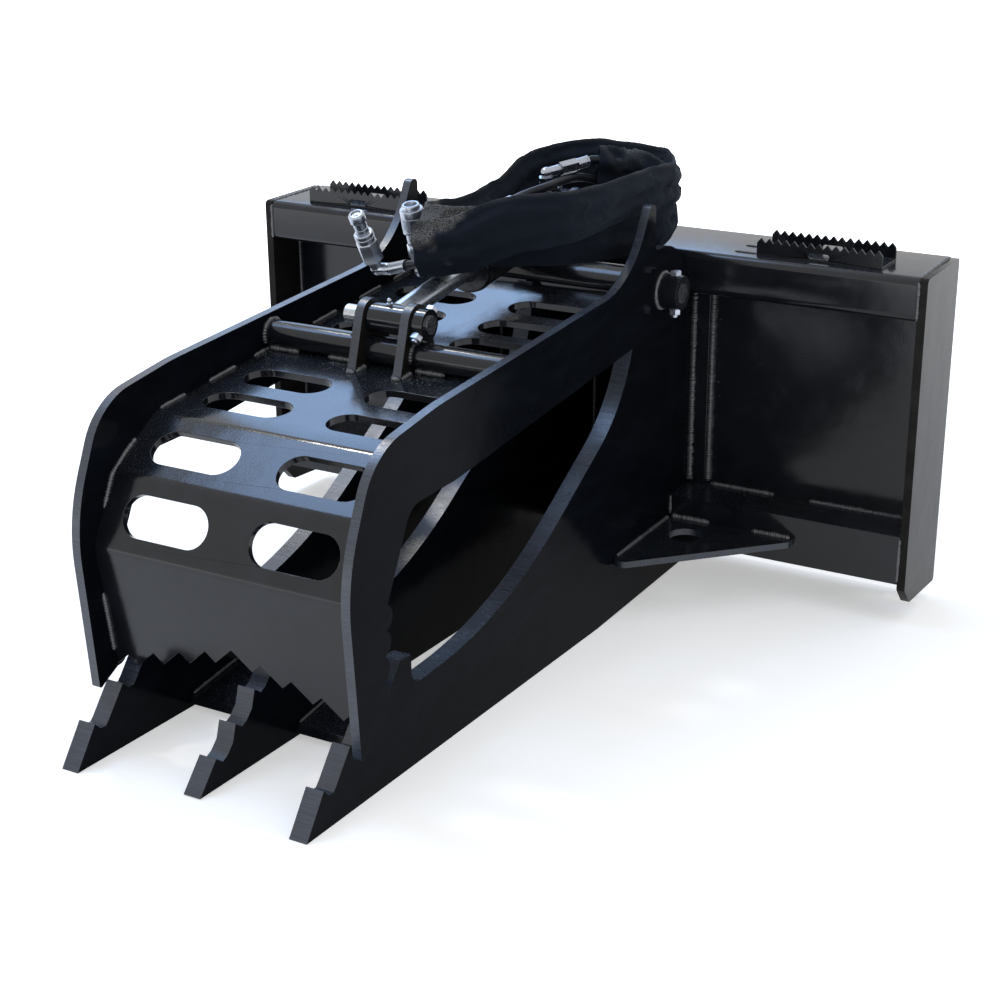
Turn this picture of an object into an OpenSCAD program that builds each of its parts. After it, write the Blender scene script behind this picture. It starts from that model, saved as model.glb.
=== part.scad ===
// Ripper grapple for a skid steer loader: a mounting frame with three ripper tines, and a clamping
// arm that one hydraulic cylinder opens and closes.
// X runs across the loader, Y towards the loader and Z up. The part stands on the tines' heels.
// Inside the modules Y is 0 at the frame's rear edge and Z is 0 at the tine tips; stand() then sets
// the whole part on its heels with its origin in the middle of its footprint.

/* [Mounting frame] */
// Width over the two end plates
frame_w = 1143; // [1093:1:1219]
// Height of the frame's top above the tine tips
frame_top = 492; // [484:1:500]
// Depth of the end plates, front to back
frame_d = 150; // [147:1:156]
// Thickness of an end plate
end_t = 12.7; // [9.5:0.1:15.9]
// Thickness of the back plate
back_t = 9.5; // [8:0.1:12.7]
// Sheet thickness of the folded top beam
beam_t = 8; // [6:0.1:10]
// Height of the top beam's front face
beam_h = 65; // [58:1:72]
// Side of the square bottom tube
tube_w = 76.2; // [70:0.1:80]
// Wall of the square bottom tube
tube_wall = 6.35; // [4:0.05:9.5]
// Height of the bottom tube's underside above the tine tips
tube_z = 24; // [18:1:30]
// Thickness of the lower flange that the loader's pins lock
flange_t = 9.5; // [8:0.1:12.7]
// Distance of each lock slot's middle from the frame's side
lock_in = 63.5; // [50:0.5:100]
// Width of a lock slot across the frame
lock_w = 64; // [50:1:70]
// Width of a lock slot along the flange
lock_l = 30; // [24:1:34]

/* [Step treads] */
// Length of a step tread
tread_l = 192; // [120:1:230]
// Distance of a tread's middle from the frame's side
tread_in = 171.5; // [142:0.5:240]
// Depth of a tread, front to back
tread_d = 63; // [50:1:70]
// Height of a tread's flanges below the saw teeth
tread_h = 19.5; // [14:0.5:24]
// Sheet thickness of a tread
tread_t = 3.2; // [2:0.1:5]
// Height of a saw tooth
saw_h = 7.5; // [4:0.5:10]
// Number of saw teeth on a flange
saw_n = 15; // [9:1:18]

/* [Tines] */
// Distance from the rear edge of the frame to the outer tine tips
reach = 1147; // [1140:1:1180]
// Drop from the tine tips to the heels that the part stands on
heel = 30; // [24:1:36]
// Thickness of a tine
tine_t = 25.4; // [19:0.1:32]
// Distance between the middles of neighbouring tines
tine_gap = 172.9; // [165:0.1:176]
// Height of the throat's flat floor
throat_z = 101.5; // [95:0.5:108]
// Radius of the tine boss round the pivot
boss_r = 42; // [38:0.5:44]
// Thickness of a gusset
gusset_t = 10; // [6:0.5:14]
// Radius of the hole in a gusset
gusset_hole_r = 27; // [20:0.5:32]

/* [Pivots] */
// Place of the arm pivot behind the rear edge of the frame
pivot_y = -241; // [-243:1:-239]
// Height of the arm pivot
pivot_z = 453; // [451:1:455]
// Diameter of an arm pivot pin
pivot_pin_d = 31.75; // [28:0.05:36]
// Outer diameter of an arm pivot bush
bush_d = 44.45; // [42:0.05:50]
// Outer diameter of the tube between the outer tines
pivot_tube_d = 60.3; // [54:0.1:63]
// Diameter of the two cylinder pins
pin_d = 25.4; // [22:0.1:28]
// Running clearance of a pin in its bush, on the radius
run_gap = 0.05; // [0.03:0.01:0.1]
// Gap left between parts that move past each other
side_gap = 0.3; // [0.25:0.05:0.5]

/* [Grapple arm] */
// Thickness of an arm side plate
arm_t = 12.7; // [9.5:0.1:15.9]
// Thickness of the thrust washer between a tine and the arm
washer_t = 7.4; // [5:0.1:9]
// Thickness of the slotted plate between the arm sides
shell_t = 9.5; // [8:0.1:11]
// Inner radius of the slotted plate's folds
fold_r = 10; // [6:1:16]
// Length of a slot across the arm
slot_l = 130; // [100:1:140]
// Width of a slot
slot_w = 55; // [40:1:58]
// Distance of each slot's middle from the middle of the arm
slot_x = 96; // [88:1:104]
// Distance from one saw tooth of the lower edge to the next
edge_pitch = 42.8; // [38:0.1:48]
// Diameter of the cross tube on the arm
cross_d = 38.1; // [32:0.1:40]
// Thickness of a clevis ear on the arm
ear_t = 12.7; // [10:0.1:15]
// Radius of a clevis ear round the rod pin
ear_r = 25.4; // [24:0.1:28]
// Outer diameter of the arm's pivot boss
ring_d = 50; // [46:0.5:56]
// Length of the arm's pivot boss
ring_l = 32; // [28:0.5:40]

/* [Hydraulic cylinder] */
// Place of the base pin, measured along Y
base_y = -170; // [-172:1:-168]
// Height of the base pin above the frame's top
base_rise = 55; // [53:1:58]
// Place of the rod pin, measured along Y
rod_y = -651; // [-653:1:-649]
// Height of the rod pin
rod_z = 482.7; // [482:0.1:484]
// Outer diameter of the barrel
barrel_d = 76.2; // [72:0.1:80]
// Bore of the barrel
bore_d = 63.5; // [60:0.1:66]
// Diameter of the rod
rod_d = 31.75; // [28:0.05:36]
// Outer diameter of the rod eye
eye_d = 40; // [39:0.1:41]
// Width of the rod eye
eye_w = 56; // [50:0.5:57]
// Width of the barrel's lug
lug_w = 38; // [32:0.5:40]
// Thickness of the frame's cylinder ears
base_ear_t = 12.7; // [10:0.1:15]
// Clearance of the rod pin in the rod eye, on the radius
eye_gap = 3.95; // [3.9:0.05:4.2]

/* [Hoses] */
// Outer diameter of a hose
hose_d = 13; // [11:0.5:14]
// Diameter of the crimped sleeves
crimp_d = 17.5; // [16:0.5:20]
// Height of the fabric sleeve where it lies flattened
sleeve_h = 78; // [60:1:80]
// Thickness of the fabric sleeve
sleeve_t = 26; // [22:1:28]

/* [Hidden] */
$fn = 64;

paint = [0.07, 0.08, 0.10];
bright = [0.72, 0.74, 0.77];
zinc = [0.55, 0.57, 0.60];
brass = [0.72, 0.58, 0.32];
rubber = [0.06, 0.06, 0.07];
cloth = [0.10, 0.10, 0.11];

// Mounting frame
end_x = frame_w / 2 - end_t;
lock_x = frame_w / 2 - lock_in;
tread_x = frame_w / 2 - tread_in;
tread_front = 23;
tread_slot = [32, 8];
tread_slot_z = 8.5;
frame_front = -frame_d;
back_front = tube_w - frame_d;
back_rear = back_front + back_t;
beam_low = frame_top - beam_h;
beam_bend = 4;
hook_in = 18;
hook_drop = 30;
end_low = 16;
flange_rear = -4;
flange_drop = 42;
flange_tilt = -atan(flange_drop / (flange_rear - back_rear));

// Tines and the arm's place beside them
tine_x = tine_gap;
tine_out = tine_x + tine_t / 2;
tine_in = tine_x - tine_t / 2;
arm_in = tine_out + washer_t + side_gap;
arm_out = arm_in + arm_t;
heel_front = -400;
throat_slope = 28.6;
throat_corner = -680.7;
throat_front = pivot_y - boss_r;
centre_tip = reach - 23;
strip_t = 10;
strip_w = 25;
strip_gap = 4.4;
cross_plate_at = [-925, -7];
cross_plate_tilt = 6.3;
cross_plate_l = 110;
cross_plate_t = 12.7;
gusset_z = 55;
gusset_l = 205;
gusset_w = 206;
gusset_nose = 20;
gusset_side = 14;
gusset_hole = [57.4, -63];

// Arm plates, as [y, z, radius]: the front and top, the horn beside the sleeve, and the underside
arm_front = [[-1057.7, 68.7, 3], [-1074.3, 303, 230]];
arm_top = [[-1022, 416, 85], [-980, 444, 95], [-870, 458, 400]];
arm_horn = [[-342, 485, 150], [-288, 586, 8], [-270, 586, 8], [-270, 517, 12]];
arm_under = [[-830, 352, 200], [-938, 352, 35], [-985, 262]];
arm_round = 87.5;
arm_rise = 65.5;
arm_sink = 49;
arm_round_low = 26;

// Arm: the slotted plate's folds on its outer face, from the lower edge to the rear end
fold = [[-1021.6, 90], [-1046, 262], [-1000, 348], [-912, 400], [-292, 449]];
edge_rise = 67.9;
edge_drop = 12.1;
edge_fall = 25.2;
edge_run = 28.6;
edge_count = 4;
slot_rows = [66, 154, 366, 444, 531];
lobe_r = 17;
lobe_pitch = 32;
lobe_lean = 4.5;
lobe_count = 5;
lobe_top = [-1000, 232];
cross_y = rod_y - 4;
cross_wall = 5;
ear_foot = 47;
ear_front = rod_y - ear_foot;
ear_rear = rod_y + ear_foot;
ear_notch = 12;

// Cylinder, measured from the base pin along its own axis, with the rod at minus Y
base_z = frame_top + base_rise;
cyl_l = norm([base_y - rod_y, base_z - rod_z]);
cyl_tilt = atan2(base_z - rod_z, base_y - rod_y);
cap_rear = -28.5;
cap_front = -52;
barrel_front = -280;
gland_in = -245;
gland_front = -289;
port_rear = -39.5;
port_front = -227;
port_d = 12;
boss_d = 22;
boss_h = 9;
elbow_rear = 14;
elbow_front = 13;
elbow_r = 7.5;
elbow_hex = 24;
elbow_nut_r = 10.5;
coupler_stem_r = 8.5;
female_r = 13;
fitting_d = 5;
piston_front = -215;
piston_rear = -190;
nut_rear = -174;
stub_d = 22;
// Rooms of the rod's seals, as [inner radius, outer radius, front, rear]
seal_rooms = [
  [rod_d / 2, rod_d / 2 + 5, gland_in - 18, gland_in - 11],
  [rod_d / 2, rod_d / 2 + 4, gland_front, gland_front + 6]
];
base_bush_d = 34;
lug_d = 48;
clevis_in = eye_w / 2 + 1.3;
clevis_out = clevis_in + ear_t;
base_in = lug_w / 2 + 1.5;
base_out = base_in + base_ear_t;
base_ear_r = 27;
base_ear_rear = -60;
bolt_d = 10;
bolt_in = 9;
bolt_head_d = 17;
bolt_head_h = 6;
bolt_nut_h = 8;
bolt_tail = 12;
bolt_reach = 30;
head_l = 12;
base_head_d = 40;
base_collar_d = 44;
base_pin_end = 29;
rod_collar_d = 42;
rod_pin_tail = 26;
rod_pin_end = 21;
boss_bolt_in = 20;
rod_bolt_lean = -55;

// Hose routes, in millimetres
stub_a = [[34, -146, 611], [39, -139, 612], [64, -119, 609]];
stub_b = [
  [-2, -322, 579], [1, -289, 582], [16, -250, 588], [21, -200, 590], [27, -159, 588], [43, -126, 579]
];
stub_c = [[-62, -512, 518], [-44, -518, 524], [-24, -530, 531], [3, -534, 541]];
stub_e = [[-64, -398, 506], [-60, -386, 511], [-58, -364, 519]];
sleeve_route = [
  [39, -127, 592], [72, -107, 588], [117, -105, 584], [158, -124, 562], [171, -169, 540],
  [152, -250, 538], [139, -330, 548], [114, -394, 553], [66, -464, 562], [22, -498, 567],
  [-21, -497, 566], [-52, -465, 561], [-58, -401, 552], [-57, -341, 548], [-60, -246, 556],
  [-64, -152, 577], [-9, -76, 590], [60, -65, 590], [132, -79, 588], [173, -140, 590],
  [178, -200, 600], [172, -290, 604], [166, -370, 602], [148, -440, 598], [100, -494, 590],
  [60, -522, 573], [36, -532, 562], [-25, -548, 553]
];

// Where each crimp leaves its elbow, and both ends of each quick coupler
crimp_a = [22, -164, 607];
crimp_b = [-3, -352, 577];
crimp_c = [-96, -502, 507];
crimp_e = [-74, -424, 494];
male_low = [-117, -512, 520];
male_top = [-122, -548, 595];
female_low = [-83, -446, 512];
female_top = [-83, -466, 594];

// Geometry helpers
function unit(v) = v / norm(v);
function along(a, b, d) = a + unit(b - a) * d;
function flip(p) = [for (i = [len(p) - 1:-1:0]) p[i]];
function turn(v) = [-v[1], v[0]];

// The arc that rounds corner b between corners a and c; each is [y, z, radius]
function corner(a, b, c) =
  let (
    p = [b[0], b[1]], u = unit([a[0], a[1]] - p), v = unit([c[0], c[1]] - p),
    half = acos(u * v) / 2, m = p + unit(u + v) * b[2] / sin(half),
    s = p + u * b[2] / tan(half) - m, e = p + v * b[2] / tan(half) - m,
    from = atan2(s[1], s[0]), sweep = (atan2(e[1], e[0]) - from + 540) % 360 - 180,
    n = max(2, ceil(abs(sweep) * sqrt(b[2]) / 60))
  )
  [for (k = [0:n]) m + b[2] * [cos(from + sweep * k / n), sin(from + sweep * k / n)]];

// A closed outline with each corner rounded by its own radius
function rounded(c) = [
  for (i = [0:len(c) - 1])
    each len(c[i]) < 3 || c[i][2] == 0
      ? [[c[i][0], c[i][1]]]
      : corner(c[(i + len(c) - 1) % len(c)], c[i], c[(i + 1) % len(c)])
];

// A path shifted sideways by d, with mitred corners
function shifted(p, d) = [
  for (i = [0:len(p) - 1])
    let (
      a = turn(unit(p[max(i, 1)] - p[max(i, 1) - 1])),
      b = turn(unit(p[min(i + 1, len(p) - 1)] - p[min(i + 1, len(p) - 1) - 1]))
    )
    p[i] + d * (a + b) / (1 + a * b)
];

// Where the tangent from point p touches the circle of radius r round c, on the side given
function tangent(p, c, r, side) =
  let (d = norm(p - c), a = atan2(p[1] - c[1], p[0] - c[0]) + side * acos(r / d))
  c + r * [cos(a), sin(a)];

// Height of the slotted plate's upper face over its long section
function shell_top(y) =
  fold[3][1] + (fold[4][1] - fold[3][1]) * (y - fold[3][0]) / (fold[4][0] - fold[3][0]);

// Points along a smooth curve through the route, n to each stretch
function smooth(r, n) = [
  for (i = [0:len(r) - 2])
    let (p0 = r[max(i - 1, 0)], p1 = r[i], p2 = r[i + 1], p3 = r[min(i + 2, len(r) - 1)])
    for (k = [0:(i == len(r) - 2 ? n : n - 1)])
      let (t = k / n)
      0.5 * (2 * p1 + (p2 - p0) * t + (2 * p0 - 5 * p1 + 4 * p2 - p3) * t * t
        + (3 * p1 - p0 - 3 * p2 + p3) * t * t * t)
];

// Direction of a curve at its point i
function heading(c, i) = unit(c[min(i + 1, len(c) - 1)] - c[max(i - 1, 0)]);

// The middle of lobe k of the arm plates' rear edge, counted down from the highest
function lobe_at(k) = lobe_top - [lobe_lean, lobe_pitch] * k;

module stand() translate([0, reach / 2, heel]) children();

// A plate standing across X with its left face at x; its outline is drawn in Y and Z
module x_plate(x, t) translate([x, 0, 0]) rotate([90, 0, 90]) linear_extrude(t) children();

// The same plate on both sides, given by its inner face
module x_pair(x, t) for (s = [-1, 1]) x_plate(s > 0 ? x : -x - t, t) children();

// A round bar along X
module x_bar(x0, x1, r) translate([x0, 0, 0]) rotate([0, 90, 0]) cylinder(h = x1 - x0, r = r);

// A round bar along Y
module y_bar(y0, y1, r) translate([0, y1, 0]) rotate([90, 0, 0]) cylinder(h = y1 - y0, r = r);

// A round bar from point a to point b, with $fn = 6 for a hexagon
module link(a, b, r) {
  d = b - a;
  translate(a)
    rotate([0, acos(d[2] / norm(d)), atan2(d[1], d[0])])
      cylinder(h = norm(d), r = r);
}

module at_pivot() translate([0, pivot_y, pivot_z]) children();
module at_base() translate([0, base_y, base_z]) rotate([cyl_tilt, 0, 0]) children();
module at_rod() translate([0, rod_y, rod_z]) rotate([cyl_tilt, 0, 0]) children();

// A tube swept along a smooth route, w wide and h tall, its width kept level
module sweep(c, w, h, sides) {
  n = len(c);
  points = [
    for (i = [0:n - 1])
      let (d = heading(c, i), side = unit(cross(d, [0, 0, 1])), up = cross(side, d))
      for (k = [0:sides - 1])
        let (a = 360 * (k + 0.5) / sides)
        c[i] + side * w / 2 * cos(a) + up * h / 2 * sin(a)
  ];
  skin = [
    for (i = [0:n - 2], k = [0:sides - 1])
      let (next = (k + 1) % sides)
      [i * sides + k, i * sides + next, (i + 1) * sides + next, (i + 1) * sides + k]
  ];
  ends = [[for (k = [sides - 1:-1:0]) k], [for (k = [0:sides - 1]) (n - 1) * sides + k]];
  polyhedron(points, concat([for (f = skin) flip(f)], [flip(ends[0]), flip(ends[1])]));
}

// Frame parts
module back_plate() color(paint) stand()
  translate([-end_x, back_front, tube_z])
    cube([2 * end_x, back_t, frame_top - beam_t - tube_z]);

module beam_outline() {
  lip = unit([-hook_in, -hook_drop]);
  end = [-hook_in, frame_top - hook_drop];
  inner = end + beam_t * [lip[1], -lip[0]];
  polygon(rounded([
    [0, frame_top], [frame_front, frame_top, beam_bend + beam_t],
    [frame_front, beam_low, beam_bend + beam_t],
    [back_front, beam_low], [back_front, beam_low + beam_t],
    [frame_front + beam_t, beam_low + beam_t, beam_bend],
    [frame_front + beam_t, frame_top - beam_t, beam_bend],
    inner - lip * ((frame_top - beam_t - inner[1]) / -lip[1]), inner, end
  ]));
}

module top_beam() color(paint) stand()
  x_plate(-end_x, 2 * end_x) beam_outline();

module bottom_tube(x0, x1) translate([x0, frame_front, tube_z])
  difference() {
    cube([x1 - x0, tube_w, tube_w]);
    inside = tube_w - 2 * tube_wall;
    translate([-1, tube_wall, tube_wall]) cube([x1 - x0 + 2, inside, inside]);
  }

module bottom_tubes() color(paint) stand() {
  bottom_tube(-end_x, -tine_out);
  bottom_tube(-tine_in, -tine_t / 2);
  bottom_tube(tine_t / 2, tine_in);
  bottom_tube(tine_out, end_x);
}

// The flange slopes down to the rear from the back plate's lower edge, under which it is welded
module lower_flange() color(paint) stand()
  difference() {
    under = flange_t / cos(flange_tilt);
    lip = [flange_rear, tube_z - flange_drop];
    x_plate(-end_x, 2 * end_x)
      polygon([
        [back_front, tube_z], [back_rear, tube_z], lip,
        lip - flange_t * [sin(-flange_tilt), cos(flange_tilt)],
        [back_front, tube_z - under + back_t * tan(-flange_tilt)]
      ]);
    for (s = [-1, 1])
      translate([s * lock_x, (back_rear + flange_rear) / 2, tube_z - flange_drop / 2])
        rotate([flange_tilt, 0, 0])
          translate([0, 0, -2 * flange_t])
            linear_extrude(4 * flange_t) square([lock_w, lock_l], center = true);
  }

module end_plate(x) x_plate(x, end_t)
  polygon(rounded([
    [0, -22, 6], [-122, -13, 10], [frame_front, end_low, 8], [frame_front, frame_top, 8], [0, frame_top, 6]
  ]));

module end_plate_left() color(paint) stand() end_plate(-end_x - end_t);
module end_plate_right() color(paint) stand() end_plate(end_x);

module saw_flange() {
  pitch = tread_l / saw_n;
  polygon(concat(
    [[tread_l / 2, 0], [-tread_l / 2, 0]],
    [for (i = [0:saw_n - 1]) each [
      [-tread_l / 2 + pitch * i, tread_h], [-tread_l / 2 + pitch * (i + 0.5), tread_h + saw_h]
    ]],
    [[tread_l / 2, tread_h]]
  ));
}

module step_tread(x) translate([x, frame_front + tread_front, frame_top]) {
  translate([-tread_l / 2, 0, 0]) cube([tread_l, tread_d, tread_t]);
  for (y = [0, tread_d - tread_t])
    translate([0, y + tread_t, 0]) rotate([90, 0, 0])
      linear_extrude(tread_t)
        difference() {
          saw_flange();
          slot(tread_slot[0], tread_slot[1], [0, tread_slot_z]);
        }
}

// A slot with round ends
module slot(l, w, at = [0, 0]) translate(at) {
  square([l - w, w], center = true);
  for (s = [-1, 1]) translate([s * (l - w) / 2, 0]) circle(d = w);
}

module step_tread_left() color(paint) stand() step_tread(-tread_x);
module step_tread_right() color(paint) stand() step_tread(tread_x);

// A tine's outline: the ripping teeth, the throat, then the back
function teeth(first, pitch, notch) = [
  for (k = [0:2]) each concat([first + k * pitch], [for (n = notch) first + k * pitch + n])
];
function tine_outline(tip, first, pitch, notch, top) = concat(
  [[-tip, 0]],
  teeth(first, pitch, notch),
  [
    first + 3 * pitch, first + 3 * pitch + [25, -2],
    [first[0] + 3 * pitch[0] + 25.5, throat_z, 20],
    [throat_corner, throat_z, 667],
    [throat_front, throat_z + (throat_front - throat_corner) * tan(throat_slope), 225]
  ],
  top,
  [[back_front, beam_low], [back_front, -heel, 8], [heel_front, -heel, 60]]
);

module outer_tine(x) difference() {
  union() {
    x_plate(x - tine_t / 2, tine_t)
      polygon(rounded(tine_outline(
        reach, [-reach + 38.5, 51], [56.8, 32], [[9.5, -10], [19.5, -11], [25.5, -5]],
        [
          [throat_front, pivot_z], [pivot_y, pivot_z + boss_r],
          [frame_front, frame_top - 2], [frame_front, beam_low]
        ]
      )));
    at_pivot() x_bar(x - tine_t / 2, x + tine_t / 2, boss_r);
  }
  at_pivot() x_bar(x - tine_t, x + tine_t, bush_d / 2);
}

module tine_left() color(paint) stand() outer_tine(-tine_x);
module tine_right() color(paint) stand() outer_tine(tine_x);

module tine_centre() color(paint) stand()
  x_plate(-tine_t / 2, tine_t) {
    seat = pivot_z - pivot_tube_d / 2;
    polygon(rounded(tine_outline(
      centre_tip, [-centre_tip + 35.6, 38], [41.5, 29], [[12.3, -9.4], [22, -5.3], [34, 6]],
      [[throat_front, seat, 4], [frame_front, seat], [frame_front, beam_low]]
    )));
  }

module tine_strips() color(paint) stand()
  for (s = [-1, 1])
    translate([s * (tine_out + strip_gap + strip_w / 2), back_front - strip_t / 2, tube_z + tube_w])
      linear_extrude(beam_low - tube_z - tube_w) square([strip_w, strip_t], center = true);

module front_cross_plates() color(paint) stand()
  for (x = [-tine_in, tine_t / 2])
    x_plate(x, tine_in - tine_t / 2)
      translate(cross_plate_at) rotate(cross_plate_tilt)
        polygon([
          [8, 0], [cross_plate_l, 0], [cross_plate_l, cross_plate_t], [8, cross_plate_t], [0, 5]
        ]);

module gusset() translate([0, 0, gusset_z])
  linear_extrude(gusset_t)
    difference() {
      polygon(rounded([
        [tine_out, frame_front], [tine_out, frame_front - gusset_l, 12],
        [tine_out + gusset_nose, frame_front - gusset_l, 12],
        [tine_out + gusset_w, frame_front - gusset_side, 8], [tine_out + gusset_w, frame_front]
      ]));
      translate([tine_out, frame_front] + gusset_hole) circle(r = gusset_hole_r);
    }

module gusset_right() color(paint) stand() gusset();
module gusset_left() color(paint) stand() mirror([1, 0, 0]) gusset();

module pivot_tube() color(paint) stand() at_pivot()
  difference() {
    x_bar(-tine_in, tine_in, pivot_tube_d / 2);
    x_bar(-tine_in - 1, tine_in + 1, bush_d / 2);
  }

module pivot_bushes() color(brass) stand() at_pivot()
  for (x = [-tine_out, tine_in])
    difference() {
      x_bar(x, x + tine_t, bush_d / 2);
      x_bar(x - 1, x + tine_t + 1, pivot_pin_d / 2 + run_gap);
    }

module thrust_washers() color(zinc) stand() at_pivot()
  for (x = [-tine_out - washer_t, tine_out])
    difference() {
      x_bar(x, x + washer_t, pivot_tube_d / 2);
      x_bar(x - 1, x + washer_t + 1, pivot_pin_d / 2 + side_gap);
    }

module cylinder_ears() color(paint) stand() {
  c = [base_y, base_z];
  foot = [[base_ear_rear, frame_top], [frame_front, frame_top]];
  x_pair(base_in, base_ear_t)
    difference() {
      union() {
        polygon([
          foot[0], tangent(foot[0], c, base_ear_r, 1), c, tangent(foot[1], c, base_ear_r, -1), foot[1]
        ]);
        translate(c) circle(r = base_ear_r);
      }
      translate(c) circle(d = pin_d);
    }
}

module base_pin() color(bright) stand() translate([0, base_y, base_z])
  difference() {
    x_bar(-base_out - head_l, base_out + base_pin_end, pin_d / 2);
    bolt_hole(base_out + bolt_in, bolt_reach);
  }

// A collar on a pin, cut across by its lock bolt
module collar(x, l, d) difference() {
  x_bar(x, x + l, d / 2);
  x_bar(x - 1, x + l + 1, pin_d / 2);
}

// A bolt with its nut through a collar of diameter d; a clear hole for one is bolt_hole
module lock_bolt(x, d, lean = 0) {
  top = d / 2;
  translate([x, 0, 0]) rotate([lean, 0, 0]) {
    translate([0, 0, top]) cylinder(h = bolt_head_h, d = bolt_head_d, $fn = 6);
    translate([0, 0, -top - bolt_tail]) cylinder(h = 2 * top + bolt_tail + 1, d = bolt_d);
    translate([0, 0, -top - bolt_nut_h]) cylinder(h = bolt_nut_h, d = bolt_head_d, $fn = 6);
  }
}

module bolt_hole(x, l, lean = 0) translate([x, 0, 0]) rotate([lean, 0, 0])
  translate([0, 0, -l]) cylinder(h = 2 * l, d = bolt_d);

module base_pin_collars() color(paint) stand() translate([0, base_y, base_z])
  difference() {
    union() {
      collar(-base_out - head_l, head_l, base_head_d);
      collar(base_out, 2 * bolt_in, base_collar_d);
    }
    bolt_hole(base_out + bolt_in, bolt_reach);
  }

module base_pin_bolt() color(zinc) stand() translate([0, base_y, base_z])
  lock_bolt(base_out + bolt_in, base_collar_d);

// Arm parts
module arm_outline() {
  low = lobe_at(lobe_count - 1);
  rear = pivot_y + arm_round;
  polygon(rounded(concat(
    arm_front, arm_top, arm_horn,
    [[rear, pivot_z + arm_rise, arm_round], [rear, pivot_z - arm_sink, arm_round_low]],
    arm_under,
    [lobe_top + [7, lobe_pitch / 2], low + [4, lobe_pitch / 4], low + [lobe_r - 1.6, -7.3]]
  )));
}

module arm_plate(x) difference() {
  union() {
    x_plate(x, arm_t) arm_outline();
    for (k = [0:lobe_count - 1])
      translate([0, lobe_at(k)[0], lobe_at(k)[1]]) x_bar(x, x + arm_t, lobe_r);
  }
  at_pivot() x_bar(x - 1, x + arm_t + 1, pivot_pin_d / 2);
}

module arm_plate_left() color(paint) stand() arm_plate(-arm_out);
module arm_plate_right() color(paint) stand() arm_plate(arm_in);

// A place on the slotted plate: s along the fold section i, with Z out of its outer face
module on_section(i, s) {
  a = fold[i];
  u = unit(fold[i + 1] - a);
  translate([0, a[0] + u[0] * s, a[1] + u[1] * s]) rotate([atan2(u[1], u[0]), 0, 0]) children();
}

module slot_pair() for (x = [-slot_x, slot_x])
  translate([x, 0, -shell_t - 1]) linear_extrude(shell_t + 2) slot(slot_l, slot_w);

// What the saw-toothed lower edge leaves out
module edge_cut() {
  half = [
    for (k = [0:edge_count])
      let (tooth = [edge_pitch * k, edge_rise - edge_drop * k])
      each [tooth, tooth + [edge_run, -edge_fall]]
  ];
  left = flip([for (i = [1:len(half) - 1]) [-half[i][0], half[i][1]]]);
  low = -80;
  translate([0, 0, -shell_t - 1]) linear_extrude(shell_t + 2)
    polygon(concat([[-230, low]], [[-230, left[0][1]]], left, half, [[230, left[0][1]], [230, low]]));
}

module arm_shell() color(paint) stand()
  difference() {
    outer = fold;
    inner = shifted(fold, -shell_t);
    x_plate(-arm_in, 2 * arm_in)
      polygon(rounded(concat(
        [outer[0]], [for (i = [1:3]) [outer[i][0], outer[i][1], fold_r + shell_t]], [outer[4]],
        [inner[4]], [for (i = [3:-1:1]) [inner[i][0], inner[i][1], fold_r]], [inner[0]]
      )));
    for (i = [1, 2]) on_section(i, norm(fold[i + 1] - fold[i]) / 2) slot_pair();
    for (s = slot_rows) on_section(3, s) slot_pair();
    on_section(0, 0) edge_cut();
  }

// The cross tube lies on the slotted plate's long section, under the clevis ears
cross_z = shell_top(cross_y)
  + cross_d / 2 / cos(atan2(fold[4][1] - fold[3][1], fold[4][0] - fold[3][0]));

module cross_tube() color(paint) stand() translate([0, cross_y, cross_z])
  difference() {
    x_bar(-arm_in, arm_in, cross_d / 2);
    x_bar(-arm_in - 1, arm_in + 1, cross_d / 2 - cross_wall);
  }

module clevis_ear(x) difference() {
  c = [rod_y, rod_z];
  front = [ear_front, shell_top(ear_front)];
  rear = [ear_rear, shell_top(ear_rear)];
  union() {
    x_plate(x, ear_t)
      polygon([front, tangent(front, c, ear_r, -1), c, tangent(rear, c, ear_r, 1), rear]);
    translate([0, rod_y, rod_z]) x_bar(x, x + ear_t, ear_r);
  }
  translate([0, rod_y, rod_z]) x_bar(x - 1, x + ear_t + 1, pin_d / 2);
  translate([0, cross_y, cross_z]) x_bar(x - 1, x + ear_t + 1, cross_d / 2);
  translate([x - 1, cross_y - ear_notch / 2, cross_z - cross_d]) cube([ear_t + 2, ear_notch, cross_d]);
}

module clevis_ear_left() color(paint) stand() clevis_ear(-clevis_out);
module clevis_ear_right() color(paint) stand() clevis_ear(clevis_in);

module rod_pin() color(bright) stand() translate([0, rod_y, rod_z])
  difference() {
    x_bar(-clevis_out - rod_pin_tail, clevis_out + rod_pin_end, pin_d / 2);
    bolt_hole(clevis_out + bolt_in, bolt_reach, rod_bolt_lean);
  }

module rod_pin_collar() color(paint) stand() translate([0, rod_y, rod_z])
  difference() {
    collar(clevis_out, 2 * bolt_in, rod_collar_d);
    bolt_hole(clevis_out + bolt_in, bolt_reach, rod_bolt_lean);
  }

module rod_pin_bolt() color(zinc) stand() translate([0, rod_y, rod_z])
  lock_bolt(clevis_out + bolt_in, rod_collar_d, rod_bolt_lean);

module arm_boss() at_pivot()
  difference() {
    x_bar(arm_out, arm_out + ring_l, ring_d / 2);
    x_bar(arm_out - 1, arm_out + ring_l + 1, pivot_pin_d / 2);
    bolt_hole(arm_out + boss_bolt_in, ring_d);
  }

module arm_boss_right() color(paint) stand() arm_boss();
module arm_boss_left() color(paint) stand() mirror([1, 0, 0]) arm_boss();

module pivot_pin() at_pivot()
  difference() {
    x_bar(tine_in, arm_out + ring_l - 4, pivot_pin_d / 2);
    bolt_hole(arm_out + boss_bolt_in, ring_d);
  }

module pivot_pin_right() color(bright) stand() pivot_pin();
module pivot_pin_left() color(bright) stand() mirror([1, 0, 0]) pivot_pin();

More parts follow.
